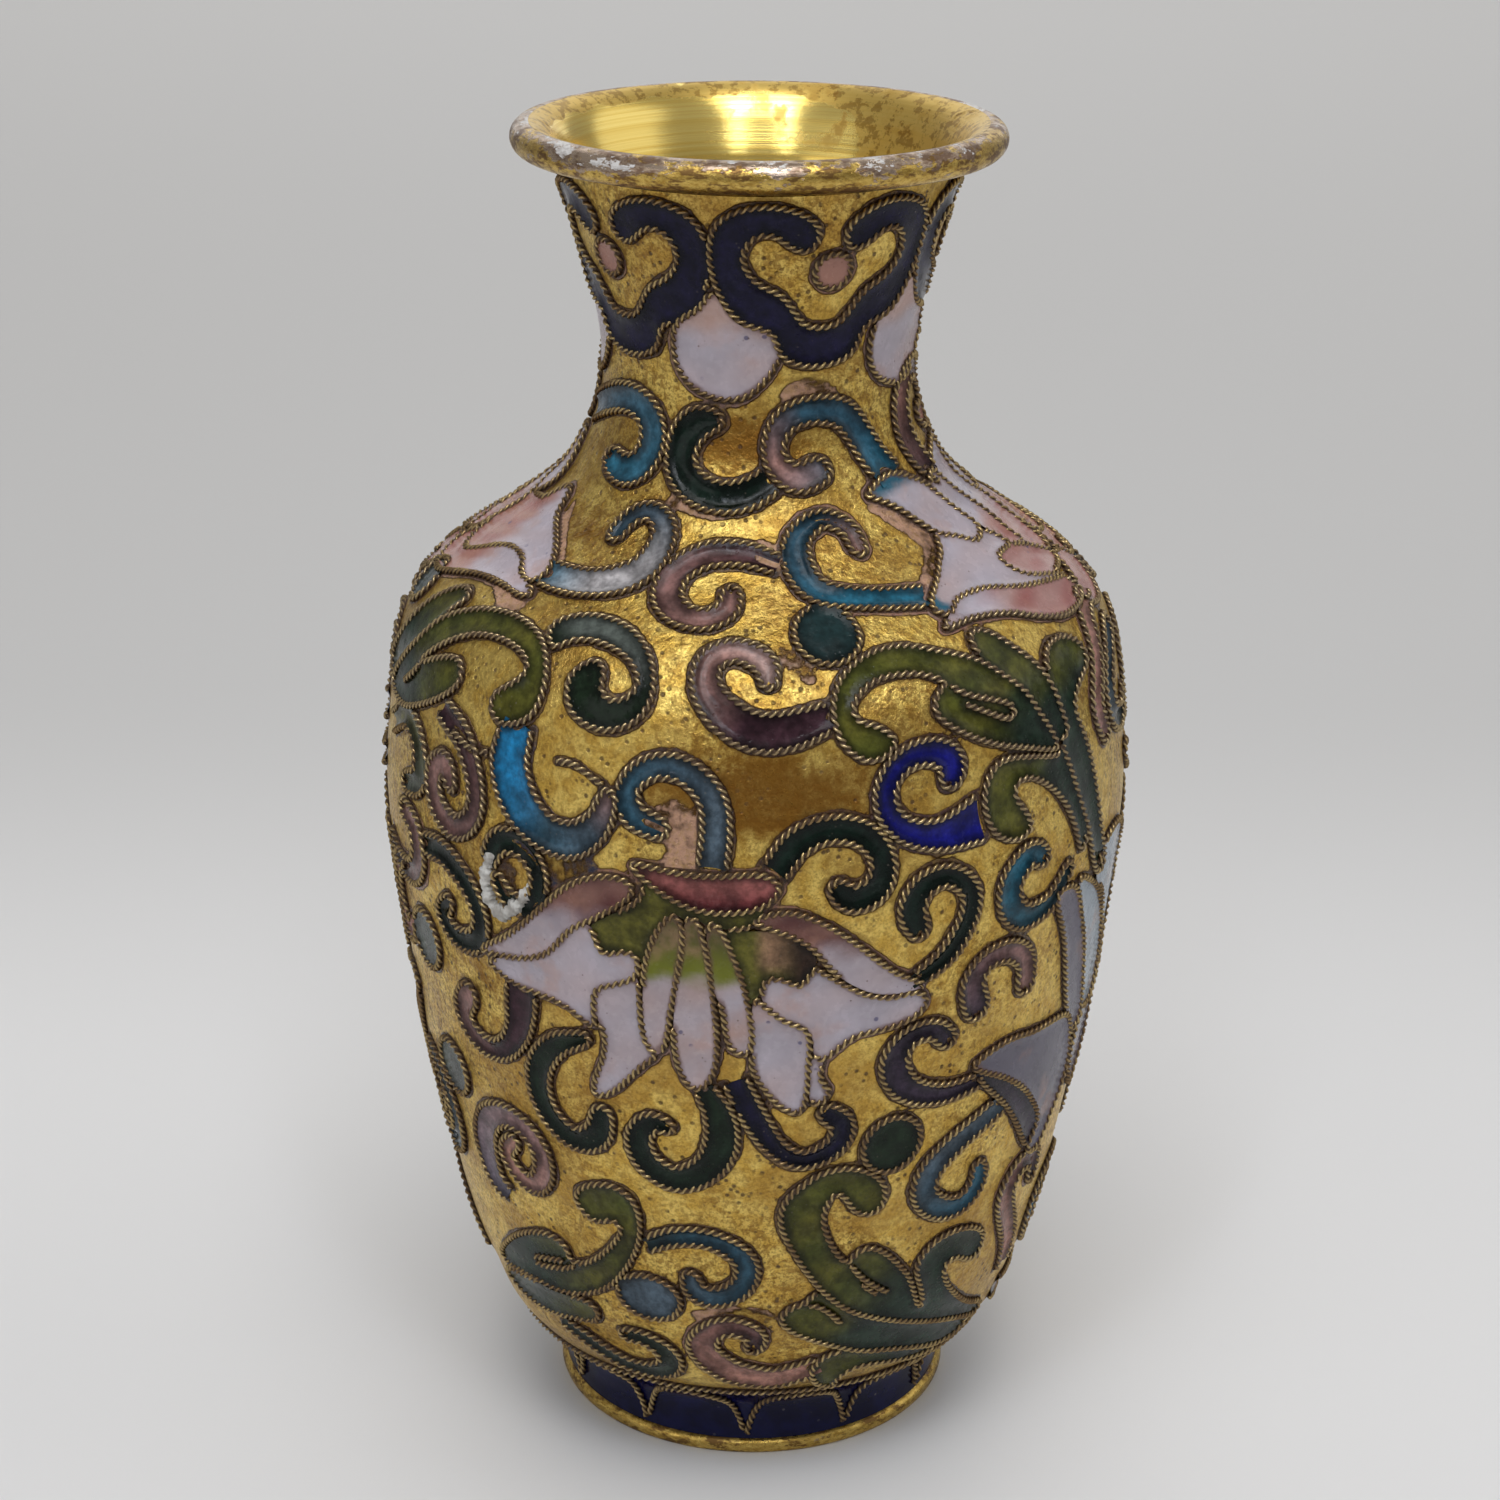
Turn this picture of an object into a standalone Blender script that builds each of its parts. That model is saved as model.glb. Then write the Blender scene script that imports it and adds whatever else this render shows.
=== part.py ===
"""Cloisonne vase, 130 mm tall, as the spun, soldered and enamelled pieces it is made of.

Lengths in the tables are in millimetres and angles in degrees. Angle 0 is the front, on -Y, and
angles grow towards +X. A height along the wall is measured over the profile, from the foot up.
"""

import math

import bmesh
import bpy
import numpy as np
from mathutils import Vector
from mathutils.geometry import delaunay_2d_cdt

MM = 0.001
SEGMENTS = 48

# Driving dimensions, in millimetres.
OVERALL_HEIGHT = 130.0
FOOT_RADIUS = 20.1
FLANGE_HEIGHT = 1.2
BEAD_RING_RADIUS = 21.4
BEAD_RADIUS = 1.45
WALL = 1.1
LAP_LENGTH = 3.0
LAP_WALL = 0.45
SOLDER_GAP = 0.1
# How far the copper is set in from the wall line, and how far the enamel and the wires stand out.
METAL_SETBACK = 0.25
ENAMEL_FOOT = 0.05
ENAMEL_CROWN = 0.45
WIRE_RADIUS = 0.4
WIRE_LIFT = 0.47
WIRE_SIDES = 6
# What the edging wire takes from each side of a scroll, and the least half width that it leaves.
EDGE_WIRE_ROOM = 0.55
LEAST_HALF_WIDTH = 0.2
# The enamel of a neck drop as a share of its outline, the rest being the wire round it.
DROP_SHARE = 0.8

# Outer profile of the enamelled wall: (height, radius), from the foot flange to the mouth.
PROFILE = [
    (1.5, 19.6), (4.0, 19.8), (6.5, 20.6), (9.0, 23.1), (12.0, 25.8), (16.0, 27.4),
    (20.0, 28.9), (26.0, 30.4), (34.0, 32.0), (42.0, 33.4), (50.0, 34.5), (58.0, 35.4),
    (66.0, 36.1), (73.0, 35.7), (79.0, 35.0), (84.0, 33.6), (88.0, 30.3), (91.0, 26.0),
    (94.0, 21.8), (97.0, 18.4), (100.0, 16.5), (103.0, 15.2), (107.0, 14.5), (112.0, 14.9),
    (117.0, 16.0), (121.0, 17.1), (124.5, 18.2), (126.5, 18.6),
]

# Where the spun sections meet, as heights.
BELLY_BOTTOM = 9.0
BELLY_TOP = 58.0
NECK_BOTTOM = 97.0

# Inside the foot: the ledge that carries the base plate, and the plate with its enamel below.
LEDGE_BOTTOM = 3.6
LEDGE_TOP = 5.2
LEDGE_RADIUS = 16.4
FOOT_BORE = 17.6
PLATE_BOTTOM = 5.3
PLATE_TOP = 6.3
PLATE_RADIUS = 17.2
COUNTER_ENAMEL_BOTTOM = 4.6
COUNTER_ENAMEL_RADIUS = 16.2

# Outside of the foot, as (height, radius): the copper under the enamel band, and the band itself.
BAND_SEAT = [(FLANGE_HEIGHT, 18.9), (4.0, 18.9), (6.5, 19.4), (7.8, 20.7)]
BAND_SECTION = [
    (1.6, 19.1), (1.6, 19.4), (4.0, 19.5), (6.3, 20.1), (7.5, 21.3), (7.7, 21.0),
    (6.5, 19.8), (4.0, 19.2),
]

# Repeats round the vase.
RUYI_COUNT = 5
RUYI_PITCH = 72.0
RUYI_FIRST = 21.0
DROP_OFFSET = -35.0
SCALLOP_COUNT = 12
SCALLOP_STEPS = 8
SCALLOP_FIRST = -2.0
SCALLOP_LOW = 1.6
SCALLOP_RISE = 4.6
FOOT_WIRE_RUN = 10.2
PATTERN_TURNS = (("front", 0.0), ("back", 180.0))

# Half of a ruyi head, from its middle out to the curled tip: (angle, height, half width).
RUYI_HALF = [
    (0.0, 122.8, 1.9), (12.0, 124.4, 1.6), (18.5, 126.2, 1.4), (25.5, 128.2, 1.3),
    (29.5, 131.0, 1.3), (27.0, 133.6, 1.3), (20.0, 135.0, 1.2), (12.5, 134.8, 1.1),
    (7.8, 133.6, 0.9),
]

# The drop between two ruyi heads: outline as (angle, height).
DROP_OUTLINE = [
    (-0.8, 127.6), (-8.0, 125.5), (-15.0, 123.4), (-15.5, 120.4), (-10.0, 118.3),
    (-1.0, 117.7), (9.0, 118.6), (15.5, 121.0), (16.5, 123.6), (8.5, 124.8), (2.5, 125.8),
]

# Scrolls of enamel: centreline points as (angle, height, half width).
SCROLLS = {
    "cyan_comma": ("enamel_cyan", [
        (-37.2, 82.8, 1.5), (-38.2, 79.4, 2.0), (-35.8, 76.0, 2.0), (-31.3, 74.0, 1.6),
        (-26.6, 73.8, 1.5), (-22.7, 75.7, 1.1), (-21.2, 78.0, 0.8)]),
    "steel_blue_crook": ("enamel_blue", [
        (-13.6, 76.1, 1.0), (-17.4, 77.1, 1.1), (-18.2, 79.6, 0.9), (-14.9, 81.5, 0.95),
        (-10.1, 81.5, 1.0), (-6.3, 79.4, 1.1), (-5.4, 76.5, 1.2), (-5.9, 73.6, 1.2)]),
    "dark_green_comma": ("enamel_dark_green", [
        (3.1, 73.0, 1.2), (6.2, 75.3, 1.2), (10.9, 76.3, 1.1), (15.6, 75.5, 1.1),
        (18.2, 73.2, 1.0), (17.4, 70.5, 1.2), (13.8, 69.6, 1.2), (11.8, 70.5, 1.0)]),
    "light_blue_hook": ("enamel_light_blue", [
        (46.4, 69.5, 1.0), (43.7, 70.3, 1.1), (40.0, 68.5, 1.3), (40.0, 65.8, 1.3),
        (43.5, 64.0, 1.2), (49.0, 64.5, 1.0), (53.0, 67.0, 0.8)]),
    "plum_comma": ("enamel_plum", [
        (11.2, 86.3, 1.0), (6.1, 85.3, 1.5), (0.4, 85.0, 1.6), (-4.6, 86.5, 1.5),
        (-7.8, 89.0, 1.2), (-7.4, 91.5, 1.1), (-3.2, 92.5, 1.1), (1.3, 91.3, 1.1),
        (2.0, 89.6, 0.8)]),
    "pink_scroll": ("enamel_mauve", [
        (4.5, 102.0, 1.0), (-2.7, 103.0, 1.2), (-11.8, 102.8, 1.3), (-17.8, 100.9, 1.3),
        (-18.7, 98.2, 1.3), (-14.8, 96.1, 1.2), (-9.3, 95.7, 1.1), (-5.5, 97.1, 1.0),
        (-5.3, 98.6, 0.8)]),
    "sky_blue_scroll": ("enamel_light_blue", [
        (25.7, 103.2, 0.8), (24.8, 105.3, 0.8), (17.8, 106.5, 0.8), (10.5, 104.6, 1.1),
        (9.8, 101.5, 1.3), (12.5, 99.0, 1.3), (17.9, 98.0, 1.1), (26.0, 97.3, 1.1),
        (34.0, 96.8, 1.1)]),
    "blue_scroll": ("enamel_blue", [
        (-18.0, 31.4, 0.8), (-12.9, 32.7, 0.9), (-6.8, 32.7, 1.0), (-1.5, 30.6, 1.0),
        (-1.2, 27.7, 1.1), (-4.8, 25.8, 1.1), (-9.5, 25.8, 1.1), (-11.0, 27.7, 0.8)]),
    "blue_loop": ("enamel_blue", [
        (44.0, 43.7, 1.2), (39.0, 42.3, 1.2), (33.5, 40.4, 1.3), (30.2, 37.9, 1.3),
        (30.6, 35.2, 1.2), (34.8, 33.3, 1.2), (39.4, 33.1, 1.2), (42.3, 35.0, 1.1),
        (41.8, 36.7, 0.8)]),
    "olive_leaf": ("enamel_olive", [
        (20.1, 35.8, 1.2), (19.0, 38.6, 1.2), (14.5, 39.5, 1.2), (9.5, 38.0, 1.3),
        (8.0, 34.6, 1.4), (9.8, 31.2, 1.5), (13.6, 28.0, 1.5), (19.1, 25.4, 1.4)]),
    "green_shoulder_leaf": ("enamel_olive", [
        (16.7, 83.8, 1.2), (13.6, 85.7, 1.0), (13.7, 88.2, 1.1), (18.1, 90.2, 1.3),
        (25.3, 90.7, 1.3), (32.2, 89.4, 1.4), (38.1, 87.3, 1.4)]),
}

# Petals of the large lotus: outlines as (angle, height).
PETALS = {
    "lotus_crown_petal": ("enamel_crimson", [
        (-17.0, 72.5), (-12.0, 72.2), (-6.0, 72.0), (1.0, 72.2), (3.4, 71.0), (1.0, 69.3),
        (-5.0, 68.8), (-10.0, 69.4), (-15.0, 71.0)]),
    "lotus_left_upper_petal": ("enamel_pink", [
        (-43.0, 60.3), (-39.0, 62.4), (-33.5, 65.5), (-28.0, 69.0), (-23.0, 70.6),
        (-18.5, 70.6), (-18.0, 69.4), (-23.3, 66.8), (-27.0, 65.3), (-31.0, 62.5),
        (-34.5, 61.3), (-38.7, 60.6)]),
    "lotus_left_wing": ("enamel_white", [
        (-42.8, 59.1), (-38.7, 60.2), (-34.5, 61.0), (-31.0, 62.1), (-27.0, 65.0),
        (-24.0, 65.9), (-22.0, 63.5), (-19.0, 63.9), (-17.0, 63.4), (-17.3, 61.5),
        (-20.5, 60.4), (-23.4, 59.5), (-24.2, 57.4), (-24.6, 55.6), (-29.3, 57.1),
        (-37.3, 57.7), (-40.7, 58.2)]),
    "lotus_left_lower_petal": ("enamel_white", [
        (-17.2, 60.8), (-20.5, 59.8), (-23.1, 58.9), (-23.6, 55.5), (-22.8, 52.1),
        (-24.4, 49.8), (-24.6, 48.3), (-22.0, 48.9), (-19.2, 50.7), (-16.8, 52.4),
        (-16.6, 54.5), (-17.2, 57.4)]),
    "lotus_centre_petal": ("enamel_white", [
        (-9.3, 67.0), (-10.2, 64.0), (-10.7, 60.0), (-11.1, 56.0), (-10.9, 53.0), (-9.8, 51.1),
        (-8.3, 50.6), (-6.6, 51.6), (-5.8, 54.0), (-5.9, 57.0), (-6.4, 61.0), (-7.2, 65.0),
        (-8.1, 67.2)]),
    "lotus_right_lower_petal": ("enamel_white", [
        (0.4, 59.6), (2.2, 58.5), (4.5, 57.3), (7.0, 56.4), (7.9, 55.0), (7.8, 52.5),
        (7.7, 50.1), (7.3, 48.5), (6.4, 48.1), (4.0, 48.9), (1.7, 50.6), (0.1, 52.7),
        (0.3, 55.0)]),
    "lotus_right_wing": ("enamel_white", [
        (1.5, 60.2), (2.0, 61.6), (5.4, 61.4), (8.6, 62.7), (10.2, 62.1), (13.4, 60.7),
        (16.6, 59.4), (20.4, 58.9), (24.7, 58.9), (25.6, 57.8), (24.0, 56.9), (19.5, 56.2),
        (15.7, 56.0), (12.8, 54.9), (10.4, 53.8), (9.3, 54.2), (9.0, 55.7), (7.7, 57.2),
        (4.6, 58.2)]),
    "lotus_right_upper_petal": ("enamel_pink", [
        (0.6, 67.8), (2.5, 68.3), (5.9, 68.3), (9.8, 67.2), (13.5, 65.5), (17.2, 63.4),
        (21.0, 61.4), (24.3, 60.2), (21.4, 59.9), (17.6, 60.2), (14.3, 61.4), (11.0, 63.1),
        (8.7, 65.1), (5.9, 66.5), (3.0, 67.2)]),
}

# Colour, roughness and metallic value of each material.
MATERIALS = {
    "gilded_copper": ((0.72, 0.50, 0.16), 0.35, 1.0),
    "gilt_wire": ((0.52, 0.36, 0.14), 0.4, 1.0),
    "counter_enamel": ((0.02, 0.08, 0.20), 0.15, 0.0),
    "enamel_navy": ((0.010, 0.012, 0.055), 0.12, 0.0),
    "enamel_blue": ((0.045, 0.13, 0.27), 0.12, 0.0),
    "enamel_light_blue": ((0.06, 0.27, 0.46), 0.12, 0.0),
    "enamel_cyan": ((0.02, 0.25, 0.48), 0.12, 0.0),
    "enamel_dark_green": ((0.012, 0.035, 0.032), 0.12, 0.0),
    "enamel_olive": ((0.09, 0.13, 0.035), 0.12, 0.0),
    "enamel_mauve": ((0.36, 0.20, 0.22), 0.12, 0.0),
    "enamel_plum": ((0.08, 0.035, 0.07), 0.12, 0.0),
    "enamel_white": ((0.62, 0.60, 0.70), 0.15, 0.0),
    "enamel_pink": ((0.55, 0.22, 0.25), 0.15, 0.0),
    "enamel_crimson": ((0.33, 0.03, 0.05), 0.12, 0.0),
}


def clear_scene():
    for thing in list(bpy.data.objects):
        bpy.data.objects.remove(thing)


def material(slot, owner):
    """A Principled material of the slot's colour, one for each object."""
    colour, roughness, metallic = MATERIALS[slot]
    made = bpy.data.materials.new(f"{slot}.{owner}")
    made.use_nodes = True
    shader = made.node_tree.nodes["Principled BSDF"]
    shader.inputs["Base Color"].default_value = (*colour, 1.0)
    shader.inputs["Roughness"].default_value = roughness
    shader.inputs["Metallic"].default_value = metallic
    return made


def smooth_curve(points, steps, closed=False):
    """Points on a Catmull-Rom spline through the given points, with this many steps in each span."""
    given = np.array(points, float)
    if closed:
        padded = np.vstack([given[-1], given, given[:2]])
    else:
        padded = np.vstack([2 * given[0] - given[1], given, 2 * given[-1] - given[-2]])
    found = []
    for i in range(1, len(padded) - 2):
        a, b, c, d = padded[i - 1 : i + 3]
        for t in np.arange(steps) / steps:
            cubic = (3 * b - a - 3 * c + d) * t**3
            found.append(0.5 * (cubic + (2 * a - 5 * b + 4 * c - d) * t**2 + (c - a) * t + 2 * b))
    if not closed:
        found.append(padded[-2])
    return np.array(found)


WALL_LINE = smooth_curve(PROFILE, 24)
WALL_SPANS = np.hypot(*np.diff(WALL_LINE, axis=0).T)
WALL_RUN = np.concatenate([[0.0], np.cumsum(WALL_SPANS)])


def radius_at(height):
    return float(np.interp(height, WALL_LINE[:, 0], WALL_LINE[:, 1]))


def on_wall(angle, run, lift):
    """The point in metres at this angle, this far up along the wall and this far out from it."""
    heights = np.interp([run - 0.5, run, run + 0.5], WALL_RUN, WALL_LINE[:, 0])
    radii = np.interp([run - 0.5, run, run + 0.5], WALL_RUN, WALL_LINE[:, 1])
    rise = heights[2] - heights[0]
    flare = radii[2] - radii[0]
    length = math.hypot(rise, flare)
    radius = radii[1] + lift * rise / length
    height = heights[1] - lift * flare / length
    turn = math.radians(angle)
    return Vector((radius * math.sin(turn), -radius * math.cos(turn), height)) * MM


def degrees_per_mm(run):
    return math.degrees(1.0 / float(np.interp(run, WALL_RUN, WALL_LINE[:, 1])))


def add_object(name, mesh, slot):
    """Links a mesh as the named object, facing outwards, shaded smooth, with its own material."""
    work = bmesh.new()
    work.from_mesh(mesh)
    bmesh.ops.recalc_face_normals(work, faces=work.faces)
    work.to_mesh(mesh)
    work.free()
    mesh.shade_smooth()
    mesh.set_sharp_from_angle(angle=math.radians(35))
    made = bpy.data.objects.new(name, mesh)
    made.data.materials.append(material(slot, name))
    bpy.context.scene.collection.objects.link(made)
    return made


def mesh_from(name, points, faces):
    mesh = bpy.data.meshes.new(name)
    mesh.from_pydata([tuple(p) for p in points], [], faces)
    return mesh


def turned(name, section, slot):
    """A ring turned about Z from a closed section of (height, radius) points in millimetres."""
    count = len(section)
    points = []
    for i in range(SEGMENTS):
        turn = 2 * math.pi * i / SEGMENTS
        across = Vector((math.sin(turn), -math.cos(turn), 0.0))
        points += [(across * radius + Vector((0, 0, height))) * MM for height, radius in section]
    faces = []
    for i in range(SEGMENTS):
        for j in range(count):
            here = i * count + j
            up = i * count + (j + 1) % count
            after = (i + 1) % SEGMENTS * count + j
            after_up = (i + 1) % SEGMENTS * count + (j + 1) % count
            faces.append((here, up, after_up, after))
    return add_object(name, mesh_from(name, points, faces), slot)


def disc(name, low, high, radius, slot):
    """A flat round plate."""
    mesh = bpy.data.meshes.new(name)
    work = bmesh.new()
    bmesh.ops.create_cone(
        work, cap_ends=True, segments=SEGMENTS,
        radius1=radius * MM, radius2=radius * MM, depth=(high - low) * MM)
    bmesh.ops.translate(work, verts=work.verts, vec=(0, 0, (low + high) / 2 * MM))
    work.to_mesh(mesh)
    work.free()
    return add_object(name, mesh, slot)


def wall_section(bottom, top, inset, count):
    """(height, radius) points up the wall between two heights, set in from the enamelled face."""
    heights = np.linspace(bottom, top, count)
    return [(height, radius_at(height) - inset) for height in heights]


def shell(name, bottom, top, rows, lap_up, lap_seat):
    """A spun section of the body. lap_up has a thin lip at its top, which enters the section above;
    lap_seat has its wall thinned from inside at its bottom, to take the lip of the one below."""
    outer = wall_section(bottom, top, METAL_SETBACK, rows)
    inner = wall_section(bottom, top, METAL_SETBACK + WALL, rows)
    lip_inner = METAL_SETBACK + WALL
    lip_outer = lip_inner - LAP_WALL
    seat = METAL_SETBACK + WALL - LAP_WALL - SOLDER_GAP
    section = list(outer)
    if lap_up:
        section.append((top, radius_at(top) - lip_outer))
        section.append((top + LAP_LENGTH, radius_at(top + LAP_LENGTH) - lip_outer))
        section.append((top + LAP_LENGTH, radius_at(top + LAP_LENGTH) - lip_inner))
    if lap_seat:
        stop = bottom + LAP_LENGTH + 2 * SOLDER_GAP
        inner = [row for row in inner if row[0] > stop + 1.0]
        section += inner[::-1]
        section.append((stop, radius_at(stop) - lip_inner))
        section.append((stop, radius_at(stop) - seat))
        section.append((bottom, radius_at(bottom) - seat))
    else:
        section += inner[::-1]
    return turned(name, section, "gilded_copper")


def build_body():
    """The three spun sections, one above another, soldered at lapped seams."""
    shell("lower_belly_shell", BELLY_BOTTOM, BELLY_TOP, 11, True, False)
    shell("shoulder_shell", BELLY_TOP + SOLDER_GAP, NECK_BOTTOM, 15, True, True)
    shell("neck_shell", NECK_BOTTOM + SOLDER_GAP, PROFILE[-1][0], 15, False, True)


def build_mouth_rim():
    """The round bead, joined to the neck's edge by a flare that sits on it."""
    centre = OVERALL_HEIGHT - BEAD_RADIUS
    seat = PROFILE[-1][0] + SOLDER_GAP
    neck_outside = radius_at(seat) - METAL_SETBACK
    neck_inside = neck_outside - WALL - SOLDER_GAP
    section = []
    for turn in np.linspace(math.radians(-80), math.radians(170), 9):
        radius = BEAD_RING_RADIUS + BEAD_RADIUS * math.cos(turn)
        section.append((centre + BEAD_RADIUS * math.sin(turn), radius))
    section += [
        (seat + WALL, neck_inside), (seat, neck_inside), (seat, neck_outside),
        (centre - BEAD_RADIUS / 2, BEAD_RING_RADIUS - 1.1 * BEAD_RADIUS)]
    turned("mouth_rim_bead", section, "gilded_copper")


def build_foot():
    """The turned foot that carries the belly, the plate that closes the vase and its enamel."""
    top = BELLY_BOTTOM - SOLDER_GAP
    outside = radius_at(BELLY_BOTTOM) - METAL_SETBACK
    inside = outside - WALL
    section = [(0.0, FOOT_RADIUS), (FLANGE_HEIGHT, FOOT_RADIUS)] + BAND_SEAT
    section += [
        (top, outside), (top, inside - 1.2), (7.3, 18.2), (LEDGE_TOP, FOOT_BORE),
        (LEDGE_TOP, LEDGE_RADIUS), (LEDGE_BOTTOM, LEDGE_RADIUS), (LEDGE_BOTTOM, FOOT_BORE),
        (0.0, 17.8)]
    turned("foot_ring", section, "gilded_copper")
    disc("base_plate", PLATE_BOTTOM, PLATE_TOP, PLATE_RADIUS, "gilded_copper")
    disc("base_counter_enamel", COUNTER_ENAMEL_BOTTOM, LEDGE_TOP, COUNTER_ENAMEL_RADIUS, "counter_enamel")
    turned("foot_enamel_band", BAND_SECTION, "enamel_navy")


def loop_wire(name, path):
    """A closed round wire along a list of (angle, run) points, resting on the wall."""
    spots = [on_wall(angle, run, WIRE_LIFT) for angle, run in path]
    ups = [on_wall(angle, run, WIRE_LIFT + 1.0) - on_wall(angle, run, WIRE_LIFT) for angle, run in path]
    count = len(spots)
    points = []
    for i in range(count):
        along = (spots[(i + 1) % count] - spots[i - 1]).normalized()
        up = ups[i].normalized()
        side = along.cross(up).normalized()
        for k in range(WIRE_SIDES):
            turn = 2 * math.pi * k / WIRE_SIDES
            points.append(spots[i] + (side * math.cos(turn) + up * math.sin(turn)) * WIRE_RADIUS * MM)
    faces = []
    for i in range(count):
        for k in range(WIRE_SIDES):
            here = i * WIRE_SIDES + k
            beside = i * WIRE_SIDES + (k + 1) % WIRE_SIDES
            after = (i + 1) % count * WIRE_SIDES + k
            after_beside = (i + 1) % count * WIRE_SIDES + (k + 1) % WIRE_SIDES
            faces.append((here, beside, after_beside, after))
    return add_object(name, mesh_from(name, points, faces), "gilt_wire")


def build_foot_wires():
    """The ring where the belly meets the foot, and the wire that makes the arches on the band."""
    ring = [(360.0 * i / SEGMENTS, FOOT_WIRE_RUN) for i in range(SEGMENTS)]
    loop_wire("foot_ring_wire", ring)
    scallops = []
    for i in range(SCALLOP_COUNT * SCALLOP_STEPS):
        angle = SCALLOP_FIRST + 360.0 * i / (SCALLOP_COUNT * SCALLOP_STEPS)
        rise = abs(math.sin(math.pi * i / SCALLOP_STEPS)) ** 0.8
        scallops.append((angle, SCALLOP_LOW + SCALLOP_RISE * rise))
    loop_wire("foot_scallop_wire", scallops)


def ribbon(name, points, turn, slot):
    """A raised strip of enamel along a centreline, between the wires that edge it."""
    line = smooth_curve(points, 2)
    spots = []
    for i, (angle, run, half_width) in enumerate(line):
        before = line[max(i - 1, 0)]
        after = line[min(i + 1, len(line) - 1)]
        scale = degrees_per_mm(run)
        along = np.array([(after[0] - before[0]) / scale, after[1] - before[1]])
        along /= np.hypot(*along)
        half = max(half_width - EDGE_WIRE_ROOM, LEAST_HALF_WIDTH)
        for side, lift in ((-1, ENAMEL_FOOT), (-1, ENAMEL_CROWN), (1, ENAMEL_CROWN), (1, ENAMEL_FOOT)):
            offset = np.array([-along[1], along[0]]) * side * half
            spots.append(on_wall(angle + turn + offset[0] * scale, run + offset[1], lift))
    faces = [(0, 1, 2, 3)]
    rows = len(line)
    for i in range(rows - 1):
        for k in range(4):
            here = 4 * i + k
            beside = 4 * i + (k + 1) % 4
            faces.append((here, here + 4, beside + 4, beside))
    last = 4 * (rows - 1)
    faces.append((last + 3, last + 2, last + 1, last))
    return add_object(name, mesh_from(name, spots, faces), slot)


def cell(name, outline, turn, slot):
    """A raised plate of enamel that fills an outline of (angle, run) points on the wall."""
    line = np.array(outline, float)
    middle = line.mean(axis=0)
    scale = degrees_per_mm(middle[1])
    flat = [Vector(((angle - middle[0]) / scale, run - middle[1])) for angle, run in line]
    count = len(flat)
    low = np.array(flat).min(axis=0)
    high = np.array(flat).max(axis=0)
    inside = [
        Vector((x, y))
        for x in np.arange(low[0] + 1.5, high[0], 3.0)
        for y in np.arange(low[1] + 1.5, high[1], 3.0)
    ]
    edges = [(i, (i + 1) % count) for i in range(count)]
    spots, _, triangles, _, _, _ = delaunay_2d_cdt(flat + inside, edges, [], 1, 1e-4)
    used = sorted({i for triangle in triangles for i in triangle})
    order = {old: new for new, old in enumerate(used)}
    triangles = [tuple(order[i] for i in triangle) for triangle in triangles]
    places = [(spots[i][0] * scale + middle[0] + turn, spots[i][1] + middle[1]) for i in used]
    points = [on_wall(angle, run, ENAMEL_FOOT) for angle, run in places]
    points += [on_wall(angle, run, ENAMEL_CROWN) for angle, run in places]
    above = len(used)
    directed = {}
    for a, b, c in triangles:
        for start, end in ((a, b), (b, c), (c, a)):
            directed[(start, end)] = True
    rim = [edge for edge in directed if (edge[1], edge[0]) not in directed]
    faces = [tuple(reversed(triangle)) for triangle in triangles]
    faces += [tuple(i + above for i in triangle) for triangle in triangles]
    faces += [(start, end, end + above, start + above) for start, end in rim]
    return add_object(name, mesh_from(name, points, faces), slot)


def build_neck_enamels():
    """Five ruyi heads of navy enamel under the mouth, with a white drop between each two."""
    left = [(-angle, run, half) for angle, run, half in RUYI_HALF[:0:-1]]
    for i in range(RUYI_COUNT):
        turn = RUYI_FIRST + RUYI_PITCH * i
        ribbon(f"ruyi_head_enamel_{i + 1}", left + RUYI_HALF, turn, "enamel_navy")
        outline = smooth_curve(DROP_OUTLINE, 2, closed=True)
        middle = outline.mean(axis=0)
        inner = middle + (outline - middle) * DROP_SHARE
        cell(f"neck_drop_enamel_{i + 1}", inner, turn + DROP_OFFSET, "enamel_white")


def build_body_enamels():
    """The scrolls and the large lotus, which come twice round the vase."""
    for side, turn in PATTERN_TURNS:
        for name, (slot, points) in SCROLLS.items():
            ribbon(f"{name}_{side}", points, turn, slot)
        for name, (slot, outline) in PETALS.items():
            cell(f"{name}_{side}", outline, turn, slot)


def main():
    clear_scene()
    build_body()
    build_mouth_rim()
    build_foot()
    build_foot_wires()
    build_neck_enamels()
    build_body_enamels()


main()
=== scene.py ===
"""The looks of the cloisonne vase: twisted wire, enamel, gilding and wear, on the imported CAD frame.

Tables are in millimetres and degrees. Angle 0 is the front, on -Y, and angles grow towards +X.
"Run" is the distance up along the outer wall, measured over its profile from the foot band.
"""

import math

import bpy
import numpy as np
from mathutils import Matrix, Vector, kdtree
from mathutils.geometry import delaunay_2d_cdt


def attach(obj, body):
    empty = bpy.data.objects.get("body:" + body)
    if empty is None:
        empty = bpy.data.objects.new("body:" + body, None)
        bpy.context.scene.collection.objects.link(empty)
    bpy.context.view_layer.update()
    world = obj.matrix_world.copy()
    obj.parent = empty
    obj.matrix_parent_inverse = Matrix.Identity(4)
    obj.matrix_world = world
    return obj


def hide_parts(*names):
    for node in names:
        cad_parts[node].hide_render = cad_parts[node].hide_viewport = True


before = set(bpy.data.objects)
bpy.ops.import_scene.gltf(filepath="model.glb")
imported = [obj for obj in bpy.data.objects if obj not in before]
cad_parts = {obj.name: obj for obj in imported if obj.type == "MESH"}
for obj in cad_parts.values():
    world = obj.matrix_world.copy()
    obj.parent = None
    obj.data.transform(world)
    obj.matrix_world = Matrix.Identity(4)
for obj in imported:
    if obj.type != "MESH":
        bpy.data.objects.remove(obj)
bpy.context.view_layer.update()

MM = 0.001

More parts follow.
